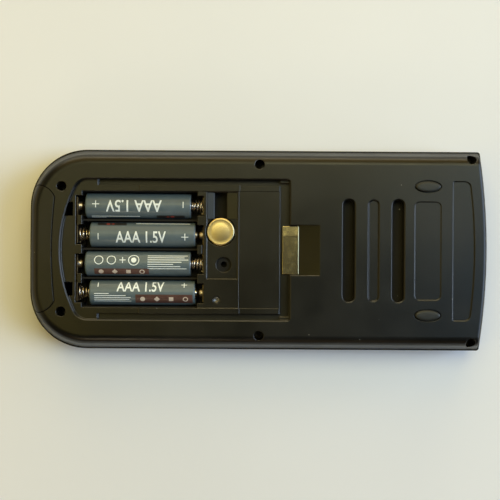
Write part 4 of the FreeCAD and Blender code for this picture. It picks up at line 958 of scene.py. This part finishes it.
# %% [markdown]
# ## Marks on the keys
# The front lies on the paper, but a viewer can turn the machine over. The four keys round the middle one get
# arrowheads that point away from it, the middle one a disc, and the two rows of small keys dots and bars, one
# to four. Each mark is a thin solid, sunk a little into its key.

# %% Print the keys
MARK_LEVELS = -0.06, 0.05
ARROW_RADIUS, DISC_RADIUS, DOT_RADIUS = 1.7, 1.2, 0.36
BAR_HALF = 0.9, 0.18
MARK_PITCH = 1.1


def key_middle(key):
    low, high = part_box(key)
    return (low + high) / 2


def key_mark(key, outlines):
    """Raised ink on the front of a key, which looks down; outlines in mm about its middle."""
    middle, face = key_middle(key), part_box(key)[0].z
    ink = bmesh.new()
    for outline in outlines:
        under, over = ([ink.verts.new((middle.x + x * MM, middle.y + y * MM, face + level * MM))
                        for x, y in outline] for level in MARK_LEVELS)
        ink.faces.new(over)
        ink.faces.new(under[::-1])
        for index in range(len(outline)):
            ink.faces.new((under[index - 1], under[index], over[index], over[index - 1]))
    bmesh.ops.recalc_face_normals(ink, faces=ink.faces)
    new_piece(f"mark_{key}", mesh_from(f"mark_{key}", ink, white_ink), f"{key}_body")


for way in ("up", "down", "left", "right"):
    outward = key_middle(f"key_{way}") - key_middle("key_enter")
    key_mark(f"key_{way}", dot(0, 0, ARROW_RADIUS, 3, math.atan2(outward.y, outward.x)))
key_mark("key_enter", dot(0, 0, DISC_RADIUS))
for number in range(1, 5):
    places = [MARK_PITCH * (index - (number - 1) / 2) for index in range(number)]
    key_mark(f"key_function_near_{number}", [dot(0, y, DOT_RADIUS)[0] for y in places])
    key_mark(f"key_function_far_{number}",
             [bar(-BAR_HALF[0], y - BAR_HALF[1], BAR_HALF[0], y + BAR_HALF[1])[0] for y in places])
print("thirteen keys marked")

# %% [markdown]
# ## Paper and light
# The machine lies on pale paper in a room with a cool window on the right and warm light from the left and
# from beyond its upper side. A uniform world would leave the black plastic flat, so the light comes from
# soft boxes: they give the back its slow change from warm to cool, and the paper its yellow shadow on the
# left. The world itself is dim; only the camera, also through clear plastic, sees it as a pale backdrop.

# %% Paper
PAPER_HALF = 1.5
PAPER_DROP = 0.02 * MM
paper_finish, tree, shader = new_finish("paper", Roughness=0.85)
grain = use_group(tree, grain_group, {"Fineness": 2400.0, "Unevenness": 6.0})
tone = blend(tree, grain["Tone"], rgb(0.78, 0.80, 0.85), rgb(0.81, 0.83, 0.88))
bumped = add(tree, "Bump", {"Height": grain["Height"], "Strength": 0.10, "Distance": 0.05 * MM}).outputs[0]
feed(tree, shader, Base_Color=tone, Normal=bumped)
sheet = bmesh.new()
bmesh.ops.create_grid(sheet, x_segments=1, y_segments=1, size=PAPER_HALF)
paper = bpy.data.objects.new("paper", mesh_from("paper", sheet, paper_finish))
paper.location.z = -PAPER_DROP
scene.collection.objects.link(paper)
print("paper laid")

# %% Soft boxes and world
# Each row: tilt from straight above and turn from +X in degrees, distance and sizes in metres, watts, colour.
LAMPS = {
    "window_light": (48, 4, 2.0, (0.88, 1.05), 20.5, (0.56, 0.74, 1.0)),
    "window_low": (74, 4, 2.0, (1.9, 0.65), 19.0, (0.80, 0.89, 1.0)),
    "sky_cool": (27, 8, 0.95, (0.34, 0.34), 0.68, (0.42, 0.72, 1.0)),
    "sky_warm": (24, 48, 0.95, (0.34, 0.34), 1.4, (1.0, 0.94, 0.54)),
    "room_light": (20, 108, 0.95, (0.55, 0.34), 1.75, (1.0, 0.91, 0.42)),
    "far_wall": (60, 95, 1.5, (1.8, 1.3), 10.0, (1.0, 0.64, 0.12)),
    "far_strip": (81, 95, 1.5, (1.8, 0.42), 9.0, (1.0, 0.93, 0.68)),
    "left_wall": (72, 180, 1.5, (1.4, 0.80), 4.0, (1.0, 0.74, 0.26)),
    "wall_glow": (26, 195, 0.95, (0.30, 0.34), 0.55, (1.0, 0.77, 0.14)),
    "desk_lamp": (66, 262, 0.95, (0.80, 0.30), 0.36, (1.0, 0.52, 0.12)),
    "desk_glint": (55, 257, 0.95, (0.14, 0.18), 0.45, (1.0, 0.86, 0.58)),
}
for name, (tilt, turn, away, size, power, colour) in LAMPS.items():
    tilt, turn = math.radians(tilt), math.radians(turn)
    data = bpy.data.lights.new(name, "AREA")
    data.shape = "RECTANGLE"
    data.size, data.size_y = size
    data.energy = power
    data.color = colour
    lamp = bpy.data.objects.new(name, data)
    lamp.location = Vector((math.sin(tilt) * math.cos(turn), math.sin(tilt) * math.sin(turn),
                            math.cos(tilt))) * away
    lamp.rotation_euler = (-lamp.location).to_track_quat("-Z", "Y").to_euler()
    scene.collection.objects.link(lamp)
world = bpy.data.worlds.new("room")
scene.world = world
world.use_nodes = True
tree = world.node_tree
tree.nodes.clear()
path = add(tree, "LightPath").outputs
seen = maths(tree, "MAXIMUM", path["Is Camera Ray"], path["Is Transmission Ray"])
dim = add(tree, "Background", {"Color": rgb(1.0, 0.84, 0.60), "Strength": 0.015}).outputs[0]
pale = add(tree, "Background", {"Color": rgb(0.86, 0.86, 0.85), "Strength": 1.0}).outputs[0]
both = add(tree, "MixShader", {0: seen, 1: dim, 2: pale}).outputs[0]
output = tree.nodes.new("ShaderNodeOutputWorld")
tree.links.new(both, output.inputs["Surface"])
print("lit by", len(LAMPS), "soft boxes")
